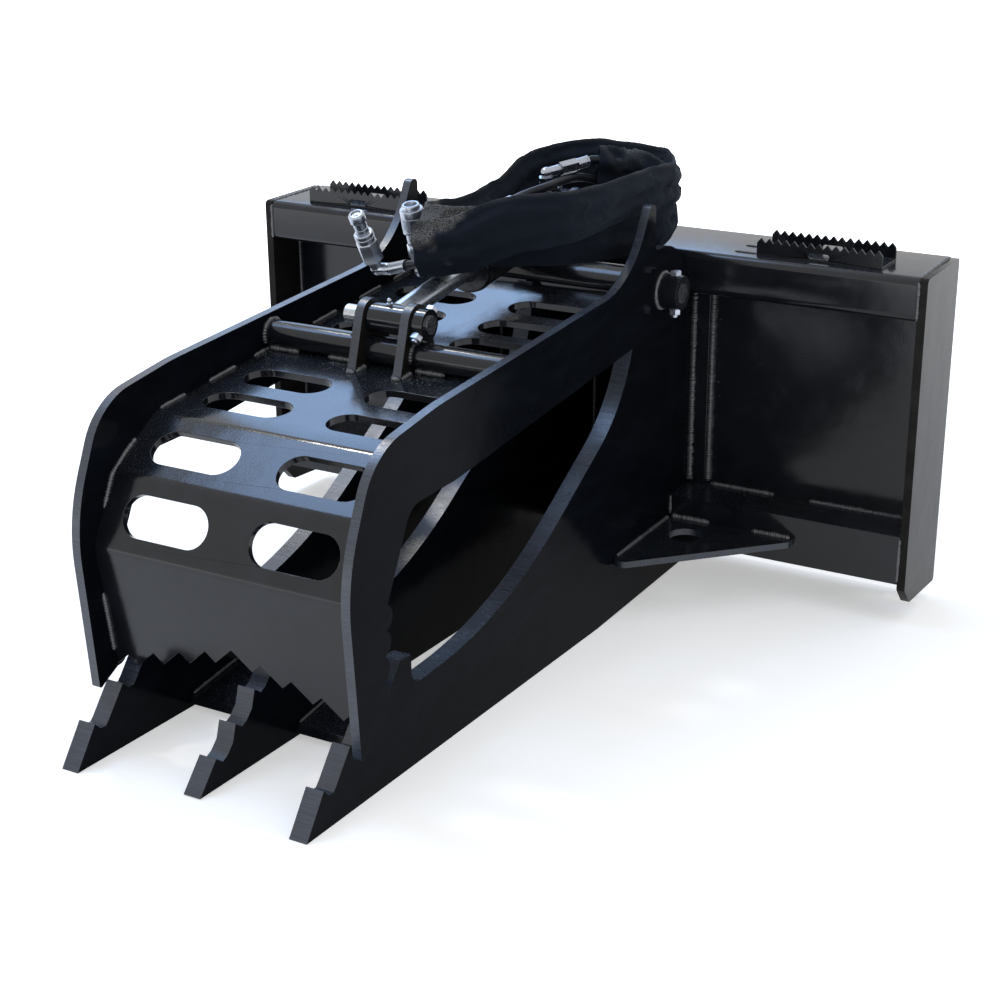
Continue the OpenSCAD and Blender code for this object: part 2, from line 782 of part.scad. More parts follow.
module pivot_bolts() color(zinc) stand() at_pivot()
  for (s = [-1, 1]) lock_bolt(s * (arm_out + boss_bolt_in), ring_d);

// Cylinder parts
module port_holes() for (y = [port_rear, port_front])
  translate([0, y, 0]) cylinder(h = barrel_d, d = port_d);

module barrel_tube() color(paint) stand() at_base()
  difference() {
    y_bar(barrel_front, cap_front, barrel_d / 2);
    y_bar(barrel_front - 1, cap_front + 1, bore_d / 2);
    port_holes();
  }

module base_cap() color(paint) stand() at_base()
  difference() {
    union() {
      rotate([90, 0, 0]) rotate_extrude()
        polygon([
          [0, -cap_rear], [barrel_d / 2 - 4, -cap_rear], [barrel_d / 2, -cap_rear + 4],
          [barrel_d / 2, -cap_front], [0, -cap_front]
        ]);
      x_bar(-lug_w / 2, lug_w / 2, lug_d / 2);
      translate([-lug_w / 2, cap_rear - 1, -lug_d / 2]) cube([lug_w, -cap_rear + 1, lug_d]);
    }
    x_bar(-lug_w, lug_w, base_bush_d / 2);
    translate([0, port_rear, 0]) cylinder(h = barrel_d, d = port_d);
    y_bar(cap_front - 1, cap_rear - 6, port_d / 2);
    cylinder(h = lug_d, d = fitting_d);
  }

module base_bush() color(brass) stand() at_base()
  difference() {
    x_bar(-lug_w / 2, lug_w / 2, base_bush_d / 2);
    x_bar(-lug_w, lug_w, pin_d / 2 + run_gap);
  }

module seal_ring(s, slack) difference() {
  y_bar(s[2], s[3], s[1]);
  y_bar(s[2] - 1, s[3] + 1, s[0] + slack);
}

module gland() color(paint) stand() at_base()
  difference() {
    union() {
      y_bar(barrel_front, gland_in, bore_d / 2);
      y_bar(gland_front, barrel_front, barrel_d / 2 - 2);
    }
    y_bar(gland_front - 1, gland_in + 1, rod_d / 2 + side_gap);
    for (s = seal_rooms) y_bar(s[2], s[3], s[1]);
  }

module rod_seals() color(rubber) stand() at_base()
  for (s = seal_rooms) seal_ring(s, run_gap);

module port_bosses() color(paint) stand() at_base()
  difference() {
    for (y = [port_rear, port_front])
      translate([0, y, barrel_d / 2 - 4]) cylinder(h = boss_h + 4, d = boss_d);
    y_bar(2 * barrel_front, -cap_front, barrel_d / 2);
    port_holes();
  }

// An elbow on a port: a hexagon, a stem and the bend
module elbow(y, up) at_base() translate([0, y, barrel_d / 2 + boss_h]) {
  cylinder(h = 8, d = elbow_hex, $fn = 6);
  cylinder(h = up, r = elbow_r);
  translate([0, 0, up]) sphere(r = elbow_r + 1);
}

// An elbow's other leg, from its bend at a to its nut's end at b
module elbow_leg(a, b) {
  link(a, b, elbow_r);
  link(a + (b - a) * 0.45, b, elbow_nut_r, $fn = 6);
}

// The point where an elbow bends, in the frame's own directions
function elbow_at(y, up) =
  let (z = barrel_d / 2 + boss_h + up)
  [0, base_y + y * cos(cyl_tilt) - z * sin(cyl_tilt), base_z + y * sin(cyl_tilt) + z * cos(cyl_tilt)];

module port_elbows() color(bright) stand() {
  elbow(port_rear, elbow_rear);
  elbow_leg(elbow_at(port_rear, elbow_rear), crimp_a);
  elbow(port_front, elbow_front);
  elbow_leg(elbow_at(port_front, elbow_front), crimp_b);
}

// A grease fitting standing on a round boss
module grease_fitting(foot) {
  translate([0, 0, foot]) cylinder(h = 3, d = 9, $fn = 6);
  translate([0, 0, foot]) cylinder(h = 6, d = fitting_d);
  translate([0, 0, foot + 7]) sphere(r = 3.2);
}

module grease_fitting_base() color(bright) stand() at_base() grease_fitting(lug_d / 2);

// Hoses, their crimps and the fabric sleeve
module hose_stubs() color(rubber) stand()
  for (r = [stub_a, stub_b, stub_c, stub_e]) sweep(smooth(r, 3), hose_d, hose_d, 10);

module hose_crimps() color(bright) stand() {
  link(crimp_a, stub_a[0], crimp_d / 2);
  link(crimp_b, stub_b[0], crimp_d / 2);
  link(crimp_c, stub_c[0], crimp_d / 2);
  link(crimp_e, stub_e[0], crimp_d / 2);
}

module hose_sleeve() color(cloth) stand() sweep(smooth(sleeve_route, 2), sleeve_t, sleeve_h, 8);

// Quick couplers at the free ends of the hoses
// A coupler's body: each step is [from, to, radius, sides] along its axis
module stepped(a, b, steps) for (s = steps) link(along(a, b, s[0]), along(a, b, s[1]), s[2], $fn = s[3]);

module male_coupler() color(zinc) stand()
  stepped(male_low, male_top, [[0, 34, 16, 6], [33, 48, 13.5, 64], [47, 68, 9.5, 64], [67, 80, 11.5, 64]]);

module male_coupler_elbow() color(zinc) stand() {
  bend = along(male_low, male_top, -16);
  link(bend, male_low, coupler_stem_r);
  translate(bend) sphere(r = coupler_stem_r + 1);
  link(bend, crimp_c, coupler_stem_r);
}

module female_coupler() color(zinc) stand()
  difference() {
    stepped(female_low, female_top, [[0, 24, 15, 6], [23, norm(female_top - female_low), female_r, 64]]);
    stepped(female_low, female_top, [[50, 90, female_r - 4, 64]]);
  }

module female_coupler_elbow() color(zinc) stand() {
  bend = along(female_low, female_top, -20);
  link(bend, female_low, coupler_stem_r);
  translate(bend) sphere(r = coupler_stem_r + 1);
  link(bend, crimp_e, coupler_stem_r);
}

module coupler_collar() color(zinc) stand()
  difference() {
    stepped(female_low, female_top, [[42, 78, female_r + 4, 64]]);
    stepped(female_low, female_top, [[40, 80, female_r + side_gap, 64]]);
  }

// Rod parts
module rod() color(bright) stand() at_base() {
  y_bar(-cyl_l + eye_d / 2 - 2, piston_front, rod_d / 2);
  y_bar(piston_front, nut_rear + 3, stub_d / 2);
}

module rod_eye() color(paint) stand() at_rod()
  difference() {
    x_bar(-eye_w / 2, eye_w / 2, eye_d / 2);
    x_bar(-eye_w, eye_w, pin_d / 2 + eye_gap);
    y_bar(eye_d / 2 - 2, eye_d, rod_d / 2);
    cylinder(h = eye_d, d = fitting_d);
  }

module piston() color(bright) stand() at_base()
  difference() {
    y_bar(piston_front, piston_rear, bore_d / 2 - run_gap);
    y_bar(piston_front - 1, piston_rear + 1, stub_d / 2);
    for (y = [piston_front + 6, piston_rear - 10]) seal_ring([bore_d / 2 - 5, bore_d, y, y + 4], 0);
  }

module piston_seals() color(rubber) stand() at_base()
  for (y = [piston_front + 6, piston_rear - 10])
    seal_ring([bore_d / 2 - 5, bore_d / 2 - run_gap, y, y + 4], 0);

module piston_nut() color(zinc) stand() at_base()
  difference() {
    translate([0, nut_rear, 0]) rotate([90, 0, 0]) cylinder(h = nut_rear - piston_rear, d = 40, $fn = 6);
    y_bar(piston_rear - 1, nut_rear + 1, stub_d / 2);
  }

module grease_fitting_rod() color(bright) stand() at_rod() grease_fitting(eye_d / 2);

back_plate();
top_beam();
bottom_tubes();
lower_flange();
end_plate_left();
end_plate_right();
step_tread_left();
step_tread_right();
tine_left();
tine_centre();
tine_right();
tine_strips();
front_cross_plates();
gusset_left();
gusset_right();
pivot_tube();
pivot_bushes();
thrust_washers();
cylinder_ears();
base_pin();
base_pin_collars();
base_pin_bolt();
arm_plate_left();
arm_plate_right();
arm_shell();
cross_tube();
clevis_ear_left();
clevis_ear_right();
rod_pin();
rod_pin_collar();
rod_pin_bolt();
arm_boss_left();
arm_boss_right();
pivot_pin_left();
pivot_pin_right();
pivot_bolts();
barrel_tube();
base_cap();
base_bush();
gland();
rod_seals();
port_bosses();
port_elbows();
grease_fitting_base();
hose_stubs();
hose_crimps();
hose_sleeve();
male_coupler();
male_coupler_elbow();
female_coupler();
female_coupler_elbow();
coupler_collar();
rod();
rod_eye();
piston();
piston_seals();
piston_nut();
grease_fitting_rod();
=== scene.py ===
"""Looks of the ripper grapple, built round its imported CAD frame.

Points are written in millimetres as part.scad has them (X right, Y towards the loader from the
frame's rear edge, Z up from the tine tips), and at() carries them into the row frame in metres.
"""

import math
import random

import bpy
from mathutils import Matrix, Vector, noise


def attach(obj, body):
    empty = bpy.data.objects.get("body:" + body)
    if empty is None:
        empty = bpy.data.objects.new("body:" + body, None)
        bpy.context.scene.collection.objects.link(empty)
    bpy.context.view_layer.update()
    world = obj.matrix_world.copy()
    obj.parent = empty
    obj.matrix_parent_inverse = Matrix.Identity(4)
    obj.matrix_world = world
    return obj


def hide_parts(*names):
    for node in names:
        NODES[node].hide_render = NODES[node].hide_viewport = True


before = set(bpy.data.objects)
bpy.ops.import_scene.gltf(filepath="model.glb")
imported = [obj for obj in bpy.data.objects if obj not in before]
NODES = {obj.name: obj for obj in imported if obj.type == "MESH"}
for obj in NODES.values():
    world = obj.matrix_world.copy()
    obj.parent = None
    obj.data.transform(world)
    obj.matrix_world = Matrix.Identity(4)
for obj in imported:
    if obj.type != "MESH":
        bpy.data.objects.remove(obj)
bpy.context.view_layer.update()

MM = 0.001
REACH = 1147.0
HEEL = 30.0


def at(p):
    """A point of part.scad's modules, in the row frame in metres."""
    return Vector((p[0] * MM, (p[1] + REACH / 2) * MM, (p[2] + HEEL) * MM))


# ---------------------------------------------------------------- camera
cam_data = bpy.data.cameras.new("camera")
cam_data.sensor_width = 36.0
cam_data.lens = 67.51
cam_data.clip_start = 0.05
cam_data.clip_end = 60.0
camera = bpy.data.objects.new("camera", cam_data)
camera.matrix_world = Matrix.Translation((1.31368, -2.09903, 1.17931)) @ Matrix((
    (0.870414, -0.171385, 0.461526),
    (0.492280, 0.314926, -0.811469),
    (-0.006273, 0.933514, 0.358485),
)).to_4x4()
bpy.context.scene.collection.objects.link(camera)
bpy.context.scene.camera = camera


# ---------------------------------------------------------------- mesh helpers
def make(name, verts, faces, smooth=True):
    """A mesh object in the scene, from points in metres and their faces."""
    mesh = bpy.data.meshes.new(name)
    mesh.from_pydata([tuple(v) for v in verts], [], faces)
    mesh.update()
    mesh.polygons.foreach_set("use_smooth", [smooth] * len(mesh.polygons))
    obj = bpy.data.objects.new(name, mesh)
    bpy.context.scene.collection.objects.link(obj)
    return obj


def catmull(points, n):
    """Points along a smooth curve through the given ones, n to each stretch."""
    out = []
    last = len(points) - 2
    for i in range(last + 1):
        p0, p1 = points[max(i - 1, 0)], points[i]
        p2, p3 = points[i + 1], points[min(i + 2, last + 1)]
        for k in range(n + (1 if i == last else 0)):
            t = k / n
            out.append(0.5 * (2 * p1 + (p2 - p0) * t + (2 * p0 - 5 * p1 + 4 * p2 - p3) * t * t
                              + (3 * p1 - p0 - 3 * p2 + p3) * t * t * t))
    return out


def spaced(points, step):
    """The same line with its points step apart."""
    run = [0.0]
    for a, b in zip(points, points[1:]):
        run.append(run[-1] + (b - a).length)
    n = max(2, round(run[-1] / step))
    out, j = [], 0
    for i in range(n + 1):
        s = run[-1] * i / n
        while j < len(run) - 2 and run[j + 1] < s:
            j += 1
        t = (s - run[j]) / max(run[j + 1] - run[j], 1e-9)
        out.append(points[j].lerp(points[j + 1], min(max(t, 0.0), 1.0)))
    return out


def frames_along(line):
    """Direction, side and up of each point of a line, with the side kept level."""
    out = []
    for i in range(len(line)):
        d = (line[min(i + 1, len(line) - 1)] - line[max(i - 1, 0)]).normalized()
        side = d.cross(Vector((0, 0, 1)))
        side = side.normalized() if side.length > 1e-4 else Vector((1, 0, 0))
        out.append((d, side, side.cross(d)))
    return out


def carried(line, closed=False):
    """Side and up of each point of a line, carried along it without twist."""
    n = len(line)
    ahead = [(line[(i + 1) % n if closed else min(i + 1, n - 1)]
              - line[i - 1 if closed or i else 0]).normalized() for i in range(n)]
    side = ahead[0].orthogonal().normalized()
    out = []
    for d in ahead:
        side = (side - d * side.dot(d)).normalized()
        out.append((side, d.cross(side)))
    return out


class Shape:
    """Points and faces of one piece, added to bit by bit."""

    def __init__(self):
        self.verts, self.faces = [], []

    def rings(self, rings, closed=False, cap=True):
        """A skin over rings of points, closed to itself or capped at its ends."""
        base, n, sides = len(self.verts), len(rings), len(rings[0])
        for ring in rings:
            self.verts += ring
        for i in range(n if closed else n - 1):
            here, there = base + i * sides, base + (i + 1) % n * sides
            for k in range(sides):
                after = (k + 1) % sides
                self.faces.append((here + k, here + after, there + after, there + k))
        if cap and not closed:
            self.faces.append(tuple(base + k for k in range(sides - 1, -1, -1)))
            self.faces.append(tuple(base + (n - 1) * sides + k for k in range(sides)))

    def turned(self, a, b, profile, sides=48, knurl=None):
        """A turned body from a towards b; profile holds (distance, radius) in millimetres.

        knurl is (from, to, depth): every other side is pressed in by the depth.
        """
        a, b = at(a), at(b)
        d = (b - a).normalized()
        side = d.orthogonal().normalized()
        up = d.cross(side)
        rings = []
        for t, r in profile:
            ring = []
            for k in range(sides):
                w = 2 * math.pi * (k + 0.5) / sides
                dent = knurl[2] if knurl and k % 2 and knurl[0] <= t <= knurl[1] else 0
                out = side * math.cos(w) + up * math.sin(w)
                ring.append(a + d * t * MM + out * (r - dent) * MM)
            rings.append(ring)
        self.rings(rings)

    def bead(self, path, radius=3.2, closed=False, ripple=4.0, seed=0.0):
        """A weld bead along a path in millimetres, with its ripples."""
        line = [at(p) for p in path]
        if closed:
            line = spaced(line + line[:1], 0.0009)[:-1]
        else:
            line = spaced(line, 0.0009)
        rings, run = [], 0.0
        last = len(line) - 1
        for i, (p, (side, up)) in enumerate(zip(line, carried(line, closed))):
            if i:
                run += (p - line[i - 1]).length / MM
            grow = 0.74 + 0.42 * abs(math.sin(math.pi * run / ripple))
            grow *= 1 + 0.24 * noise.noise(Vector((run / 7, seed, 0.3)))
            grow *= 1 + 0.30 * noise.noise(Vector((run / ripple * 0.9, seed, 7.3)))
            if not closed:
                grow *= min(1.0, 0.45 + min(i, last - i) * 0.12)
            r = radius * MM * grow
            rings.append([p + (side * math.cos(w) + up * math.sin(w)) * r
                          for w in (2 * math.pi * k / 9 for k in range(9))])
        self.rings(rings, closed)

    def spatter(self, place, radius):
        """A small drop of weld spatter."""
        p = at(place)
        self.rings([[p + Vector((math.cos(w) * r, math.sin(w) * r, z)) * radius * MM
                     for w in (2 * math.pi * k / 6 for k in range(6))]
                    for z, r in ((-0.7, 0.7), (0.0, 1.0), (0.7, 0.7), (0.95, 0.2))])

    def piece(self, name, sharp=None):
        """The finished object; edges over sharp degrees stay sharp."""
        obj = make(name, self.verts, self.faces)
        if sharp is not None:
            obj.data.set_sharp_from_angle(angle=math.radians(sharp))
        return obj


def tube(name, line, radius, sides=16):
    """A round tube along a line."""
    shape = Shape()
    shape.rings([[p + side * radius * math.cos(w) + up * radius * math.sin(w)
                  for w in (2 * math.pi * k / sides for k in range(sides))]
                 for p, (side, up) in zip(line, carried(line))])
    return shape.piece(name)


# ---------------------------------------------------------------- hoses and sleeve
HOSE_D = 0.013
SLEEVE_H = 0.078
SLEEVE_WALL = 0.0009
SLEEVE_STEP = 3.0
SLEEVE_SIDES = 56
SLEEVE_LEAN = 0.26
HALF_MOST = 11.0
HOSE_PLACE = 0.37
BAND_DROP, BAND_NARROWED = 8, 0.13
COUPLER_ROOM = 0.0195
DUST_PLACE, DUST_REACH = Vector((-10, 75, 622)), 88
STUB_A = [(34, -146, 611), (39, -139, 612), (64, -119, 609)]
STUB_B = [(-2, -322, 579), (1, -289, 582), (16, -250, 588), (21, -200, 590), (27, -159, 588),
          (43, -126, 579)]
STUB_C = [(-62, -512, 518), (-44, -518, 524), (-24, -530, 531), (3, -534, 541)]
MALE = ((-117, -512, 520), (-122, -548, 595))
FEMALE = ((-83, -446, 512), (-83, -466, 594))
STUB_E = [(-64, -398, 506), (-60, -386, 511), (-58, -364, 519)]
SLEEVE_ROUTE = [
    (39, -127, 592), (72, -107, 588), (117, -105, 584), (158, -124, 562), (171, -169, 540),
    (152, -250, 538), (139, -330, 548), (114, -394, 553), (66, -464, 562), (22, -498, 567),
    (-21, -497, 566), (-52, -465, 561), (-58, -401, 552), (-57, -341, 548), (-60, -246, 556),
    (-64, -152, 577), (-9, -76, 590), (60, -65, 590), (132, -79, 588), (173, -140, 590),
    (178, -200, 600), (172, -290, 604), (166, -370, 602), (148, -440, 598), (100, -494, 590),
    (60, -522, 573), (36, -532, 562), (-25, -548, 553),
]


# The sleeve's own line, with the direction across its flat sides and the one over its height
sleeve_line = spaced(catmull([at(p) for p in SLEEVE_ROUTE], 16), SLEEVE_STEP * MM)
sleeve_axes, sleeve_half, sleeve_drop = [], [], []
for i, (d, side, up) in enumerate(frames_along(sleeve_line)):
    s = i * SLEEVE_STEP
    lean = SLEEVE_LEAN * noise.noise(Vector((s / 170, 3.7, 1.1)))
    sleeve_axes.append((side * math.cos(lean) + up * math.sin(lean),
                        up * math.cos(lean) - side * math.sin(lean)))
    band = math.exp(-((i / (len(sleeve_line) - 1) - 0.80) / 0.10) ** 4)
    half = SLEEVE_H / MM / 2 * (1 + 0.05 * noise.noise(Vector((s / 130, 1.3, 6.2))))
    sleeve_half.append(half * (1 - BAND_NARROWED * band))
    sleeve_drop.append(BAND_DROP * band)


def in_sleeve(lifts):
    """Points inside the sleeve; lifts maps a route point to its height over the middle."""
    out = []
    for index, lift in lifts:
        target = at(SLEEVE_ROUTE[index])
        j = min(range(len(sleeve_line)), key=lambda i: (sleeve_line[i] - target).length)
        height = lift * sleeve_half[j] / (SLEEVE_H / MM / 2) - sleeve_drop[j]
        out.append(sleeve_line[j] + sleeve_axes[j][1] * height * MM)
    return out


def hose(name, points):
    """A hose through the given points, in place of the CAD hose stubs."""
    line = spaced(catmull(points, 12), 0.006)
    piece = tube(name, line, HOSE_D / 2, 20)
    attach(piece, "barrel")
    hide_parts("hose_stubs")
    return piece


def sleeve_mesh():
    """The flat-woven sleeve: two thin layers over the hoses, creased edges, folds and pleats."""
    shown = frames_along(sleeve_line)
    n, sides = len(sleeve_line), SLEEVE_SIDES
    bend = []
    for i in range(n):
        a, b = shown[max(i - 8, 0)][0], shown[min(i + 8, n - 1)][0]
        bend.append(a.cross(b).z)
    coupler_foot = at(FEMALE[0])
    coupler_line = (at(FEMALE[1]) - coupler_foot).normalized()
    rings, dust_and_lit_pleats = [], []
    for i, p in enumerate(sleeve_line):
        s = i * SLEEVE_STEP
        share = i / (n - 1)
        mouth = min(1.0, min(share, 1 - share) / 0.02)
        ax, az = sleeve_axes[i]
        full = 1.08 + 0.2 * noise.noise(Vector((s / 90, 5.5, 2.2)))
        upper = HOSE_PLACE + 0.16 * math.exp(-((share - 0.045) / 0.035) ** 2)
        crossing = 6.2 * math.exp(-((share - 0.925) / 0.035) ** 2)
        turn = min(1.0, abs(bend[i]) * 1.7)
        gather = max(0.0, 1 - share / 0.13)
        ring = []
        for k in range(sides):
            a = 2 * math.pi * (k + 0.5) / sides
            z = math.sin(a)
            face = 1 if math.cos(a) > 0 else -1
            swell = math.exp(-((z - upper) / 0.25) ** 2)
            swell += math.exp(-((z + HOSE_PLACE) / 0.25) ** 2)
            half = 1.5 + 7.4 * full * swell + crossing * math.exp(-(z / 0.5) ** 2)
            half *= (1 - abs(z) ** 7) ** 0.6
            flat = 1 - abs(z) ** 4
            pleat = turn * (1.0 if face * bend[i] > 0 else 0.25)
            lines = noise.noise(Vector((s / 34 + z * 0.9, z * 0.9, face * 7.0)))
            fold = (1 - min(1.0, abs(lines) * 3.2)) ** 2
            long_lines = noise.noise(Vector((s / 95 + z * 0.5, z * 1.6, face * 4.0)))
            crease = (1 - min(1.0, abs(long_lines) * 4.0)) ** 3
            out = (4.2 * pleat + 8.5 * gather) * fold + 3.2 * crease
            out += 3.2 * noise.noise(Vector((s / 48, z * 1.1, face * 9.0)))
            out += 0.5 * noise.noise(Vector((s / 9, z * 4.0, face * 2.0)))
            edge = 1.9 * noise.noise(Vector((s / 30, 2.0 if z > 0 else 5.0, 3.0)))
            frayed = noise.noise(Vector((s / 7, 4.0 if z > 0 else 8.0, 3.0)))
            edge += (0.3 + 0.5 * turn + 4.0 * gather) * frayed
            sway = 2.6 * noise.noise(Vector((s / 34, 6.0 if z > 0 else 1.0, 9.0))) * abs(z) ** 3
            flare = ((1 - mouth) * 3.0 + 5.0 * max(0.0, 1 - share / 0.05)) * flat
            over_hose = min(1.0, 1.6 * swell + crossing / 6.2)
            out = max(out, (1 - over_hose) * (0.8 - half) - 0.3 * over_hose)
            x = face * (min(half + out * flat * mouth, HALF_MOST) + flare) + sway * mouth
            q = p + (ax * x + az * (sleeve_half[i] * z - sleeve_drop[i] + edge * abs(z) ** 3)) * MM
            beside = q - coupler_foot
            beside -= coupler_line * beside.dot(coupler_line)
            if beside.length < COUPLER_ROOM:
                q += beside.normalized() * (COUPLER_ROOM - beside.length)
            ring.append(q)
            near = math.exp(-((q / MM - DUST_PLACE).length / DUST_REACH) ** 2)
            patch = noise.noise(Vector((q.x * 21, q.y * 21, q.z * 30)))
            patch += 0.4 * noise.noise(Vector((q.x * 70, q.y * 70, q.z * 90)))
            spot = 4.5 * (1.25 * near + 0.55 * patch + 0.22 * z - 0.86)
            top = max(0.0, z - 0.86) / 0.14 * (0.45 + 0.9 * noise.noise(Vector((s / 40, 1, 1))))
            # Pleat crests on the upper side of the gathered mouth are lightened: partly dust,
            # partly a painted sunlit highlight.
            lit_pleats = 0.45 * gather * fold * max(0.0, z)
            dust_and_lit_pleats.append(max(0.0, min(1.0, max(spot, 0.0) + 0.6 * top + lit_pleats)))
        rings.append(ring)
    shape = Shape()
    shape.rings(rings, cap=False)
    obj = shape.piece("sleeve")
    attribute = obj.data.attributes.new("dust_and_lit_pleats", "FLOAT", "POINT")
    attribute.data.foreach_set("value", dust_and_lit_pleats)
    thickness = obj.modifiers.new("thickness", "SOLIDIFY")
    thickness.thickness = SLEEVE_WALL
    thickness.offset = -1
    length = sum((b - a).length for a, b in zip(sleeve_line, sleeve_line[1:]))
    return obj, length


sleeve, sleeve_length = sleeve_mesh()
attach(sleeve, "barrel")
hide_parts("hose_sleeve")


# ---------------------------------------------------------------- couplers and crimps
CRIMPS = [((22, -164, 607), STUB_A[0]), ((-3, -352, 577), STUB_B[0]),
          ((-96, -502, 507), STUB_C[0]), ((-74, -424, 494), STUB_E[0])]


def ferrule(length):
    """A crimped sleeve's profile: a plain collar, pressed rings and a lip at the hose."""
    out = [(0, 6.4), (0, 8.2), (0.6, 8.75), (5.0, 8.75), (5.8, 8.0)]
    t = 7.0
    while t < length - 6:
        out += [(t, 8.0), (t + 0.8, 8.7), (t + 2.2, 8.7), (t + 3.0, 8.0)]
        t += 4.0
    return out + [(length - 3.4, 7.9), (length - 2.6, 8.75), (length - 0.8, 8.75), (length, 8.1),
                  (length, 6.5)]


crimps = Shape()
for a, b in CRIMPS:
    crimps.turned(a, b, ferrule((Vector(b) - Vector(a)).length))
crimp_piece = crimps.piece("crimped_sleeves", 35)
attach(crimp_piece, "barrel")
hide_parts("hose_crimps")

male = Shape()
male.turned(*MALE, [(0, 13.2), (1.6, 15.6), (2.2, 16), (31.5, 16), (32.6, 15.4), (34, 13.4)], 6)
male.turned(*MALE, [(33, 13.2), (36.5, 13.2), (37.2, 14), (40, 14), (40.8, 13), (42.4, 13),
                    (43.2, 14), (46.6, 14), (48, 12.8), (48.4, 9.6), (55, 9.6), (55.6, 8.8),
                    (58.6, 8.8), (59.2, 9.6), (65.8, 9.6), (66.6, 11.0), (67.4, 11.5),
                    (77.8, 11.5), (79.4, 10.6), (80, 9.4), (80, 7.6), (77.6, 7.2), (77.6, 3.6),
                    (79.2, 3.2), (79.4, 0.6)])
male_piece = male.piece("male_coupler_body", 35)
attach(male_piece, "barrel")
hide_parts("male_coupler")

female_l = (Vector(FEMALE[1]) - Vector(FEMALE[0])).length
female = Shape()
female.turned(*FEMALE, [(0, 12.6), (1.6, 14.6), (2.2, 15), (22, 15), (23, 14.4), (24, 12.8)], 6)
female.turned(*FEMALE, [(23, 11.8), (24.6, 12.6), (27.8, 12.6), (28.6, 11.6), (30.6, 11.6),
                        (31.4, 12.9), (female_l - 2.6, 12.9), (female_l - 0.8, 12.4),
                        (female_l, 11.6), (female_l, 9.4), (female_l - 0.8, 9.0), (50, 9.0),
                        (50, 0.5)])
female_piece = female.piece("female_coupler_body", 35)
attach(female_piece, "barrel")
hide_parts("female_coupler")

ring = Shape()
ring.turned(*FEMALE, [(42, 13.4), (42, 15.6), (43, 16.6), (46.4, 16.6), (47, 15.9), (48.6, 15.9),
                      (49.2, 16.7), (50.2, 16.9), (64.8, 16.9), (65.8, 16.7), (66.4, 15.9),
                      (68, 15.9), (68.6, 16.8), (75.4, 17.0), (77, 16.6), (78, 15.6), (78, 13.4)],
            96, (50, 65, 0.55))
ring_piece = ring.piece("coupler_collar_knurled", 30)
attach(ring_piece, "collar")
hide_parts("coupler_collar")

# ---------------------------------------------------------------- hoses
LIFT = 14
plug_lifts = [(i, LIFT) for i in range(2, 24)] + [(24, 2), (25, -10)]
socket_lifts = [(13, -22)] + [(i, -LIFT) for i in range(14, 24)]
rear_lifts = [(i, -LIFT) for i in range(1, 9)]
hose_plug = hose("hose_to_plug",
                 [at(p) for p in STUB_A] + in_sleeve(plug_lifts) + [at(p) for p in STUB_C[::-1]])
hose_socket = hose("hose_to_socket", [at(p) for p in STUB_E] + in_sleeve(socket_lifts))
hose_rear = hose("hose_at_front_port", [at(p) for p in STUB_B] + in_sleeve(rear_lifts))


# ---------------------------------------------------------------- welds
TINE_OUT, TINE_IN = 185.6, 160.2
ARM_IN, ARM_OUT = 193.3, 206.0
BACK, FRONT, TUBE_TOP, BEAM_LOW, TOP = -73.8, -150.0, 100.2, 427.0, 492.0
END_X = 558.8
PIVOT = (-241.0, 453.0)
ROD_PIN = (-651.0, 482.7)
CROSS_Y, CROSS_R = -655.0, 19.05
SHELL_LOW, SHELL_RISE, SHELL_FRONT, SHELL_RUN = 400, 49, -912, 620
EAR_SIDES = (28.6, 42.7)
TREAD_WELD = (END_X - 292, END_X - 256)


def shell_top(y):
    """Height of the arm's folded plate on its long top face."""
    return SHELL_LOW + SHELL_RISE * (y - SHELL_FRONT) / SHELL_RUN


CROSS_Z = shell_top(CROSS_Y) + CROSS_R / math.cos(math.atan2(SHELL_RISE, SHELL_RUN))


def circle(x, centre, radius, first=0, last=360):
    """Points round a centre given in Y and Z, in the plane across X."""
    n = max(8, int(abs(last - first) * radius / 120))
    steps = range(n if abs(last - first) == 360 else n + 1)
    return [(x, centre[0] + radius * math.cos(math.radians(first + (last - first) * k / n)),
             centre[1] + radius * math.sin(math.radians(first + (last - first) * k / n)))
            for k in steps]


def along_y(x, y0, y1, lift):
    """The two ends of a bead on the folded plate's top face."""
    return [(x, y, shell_top(y) + lift) for y in (y0, y1)]


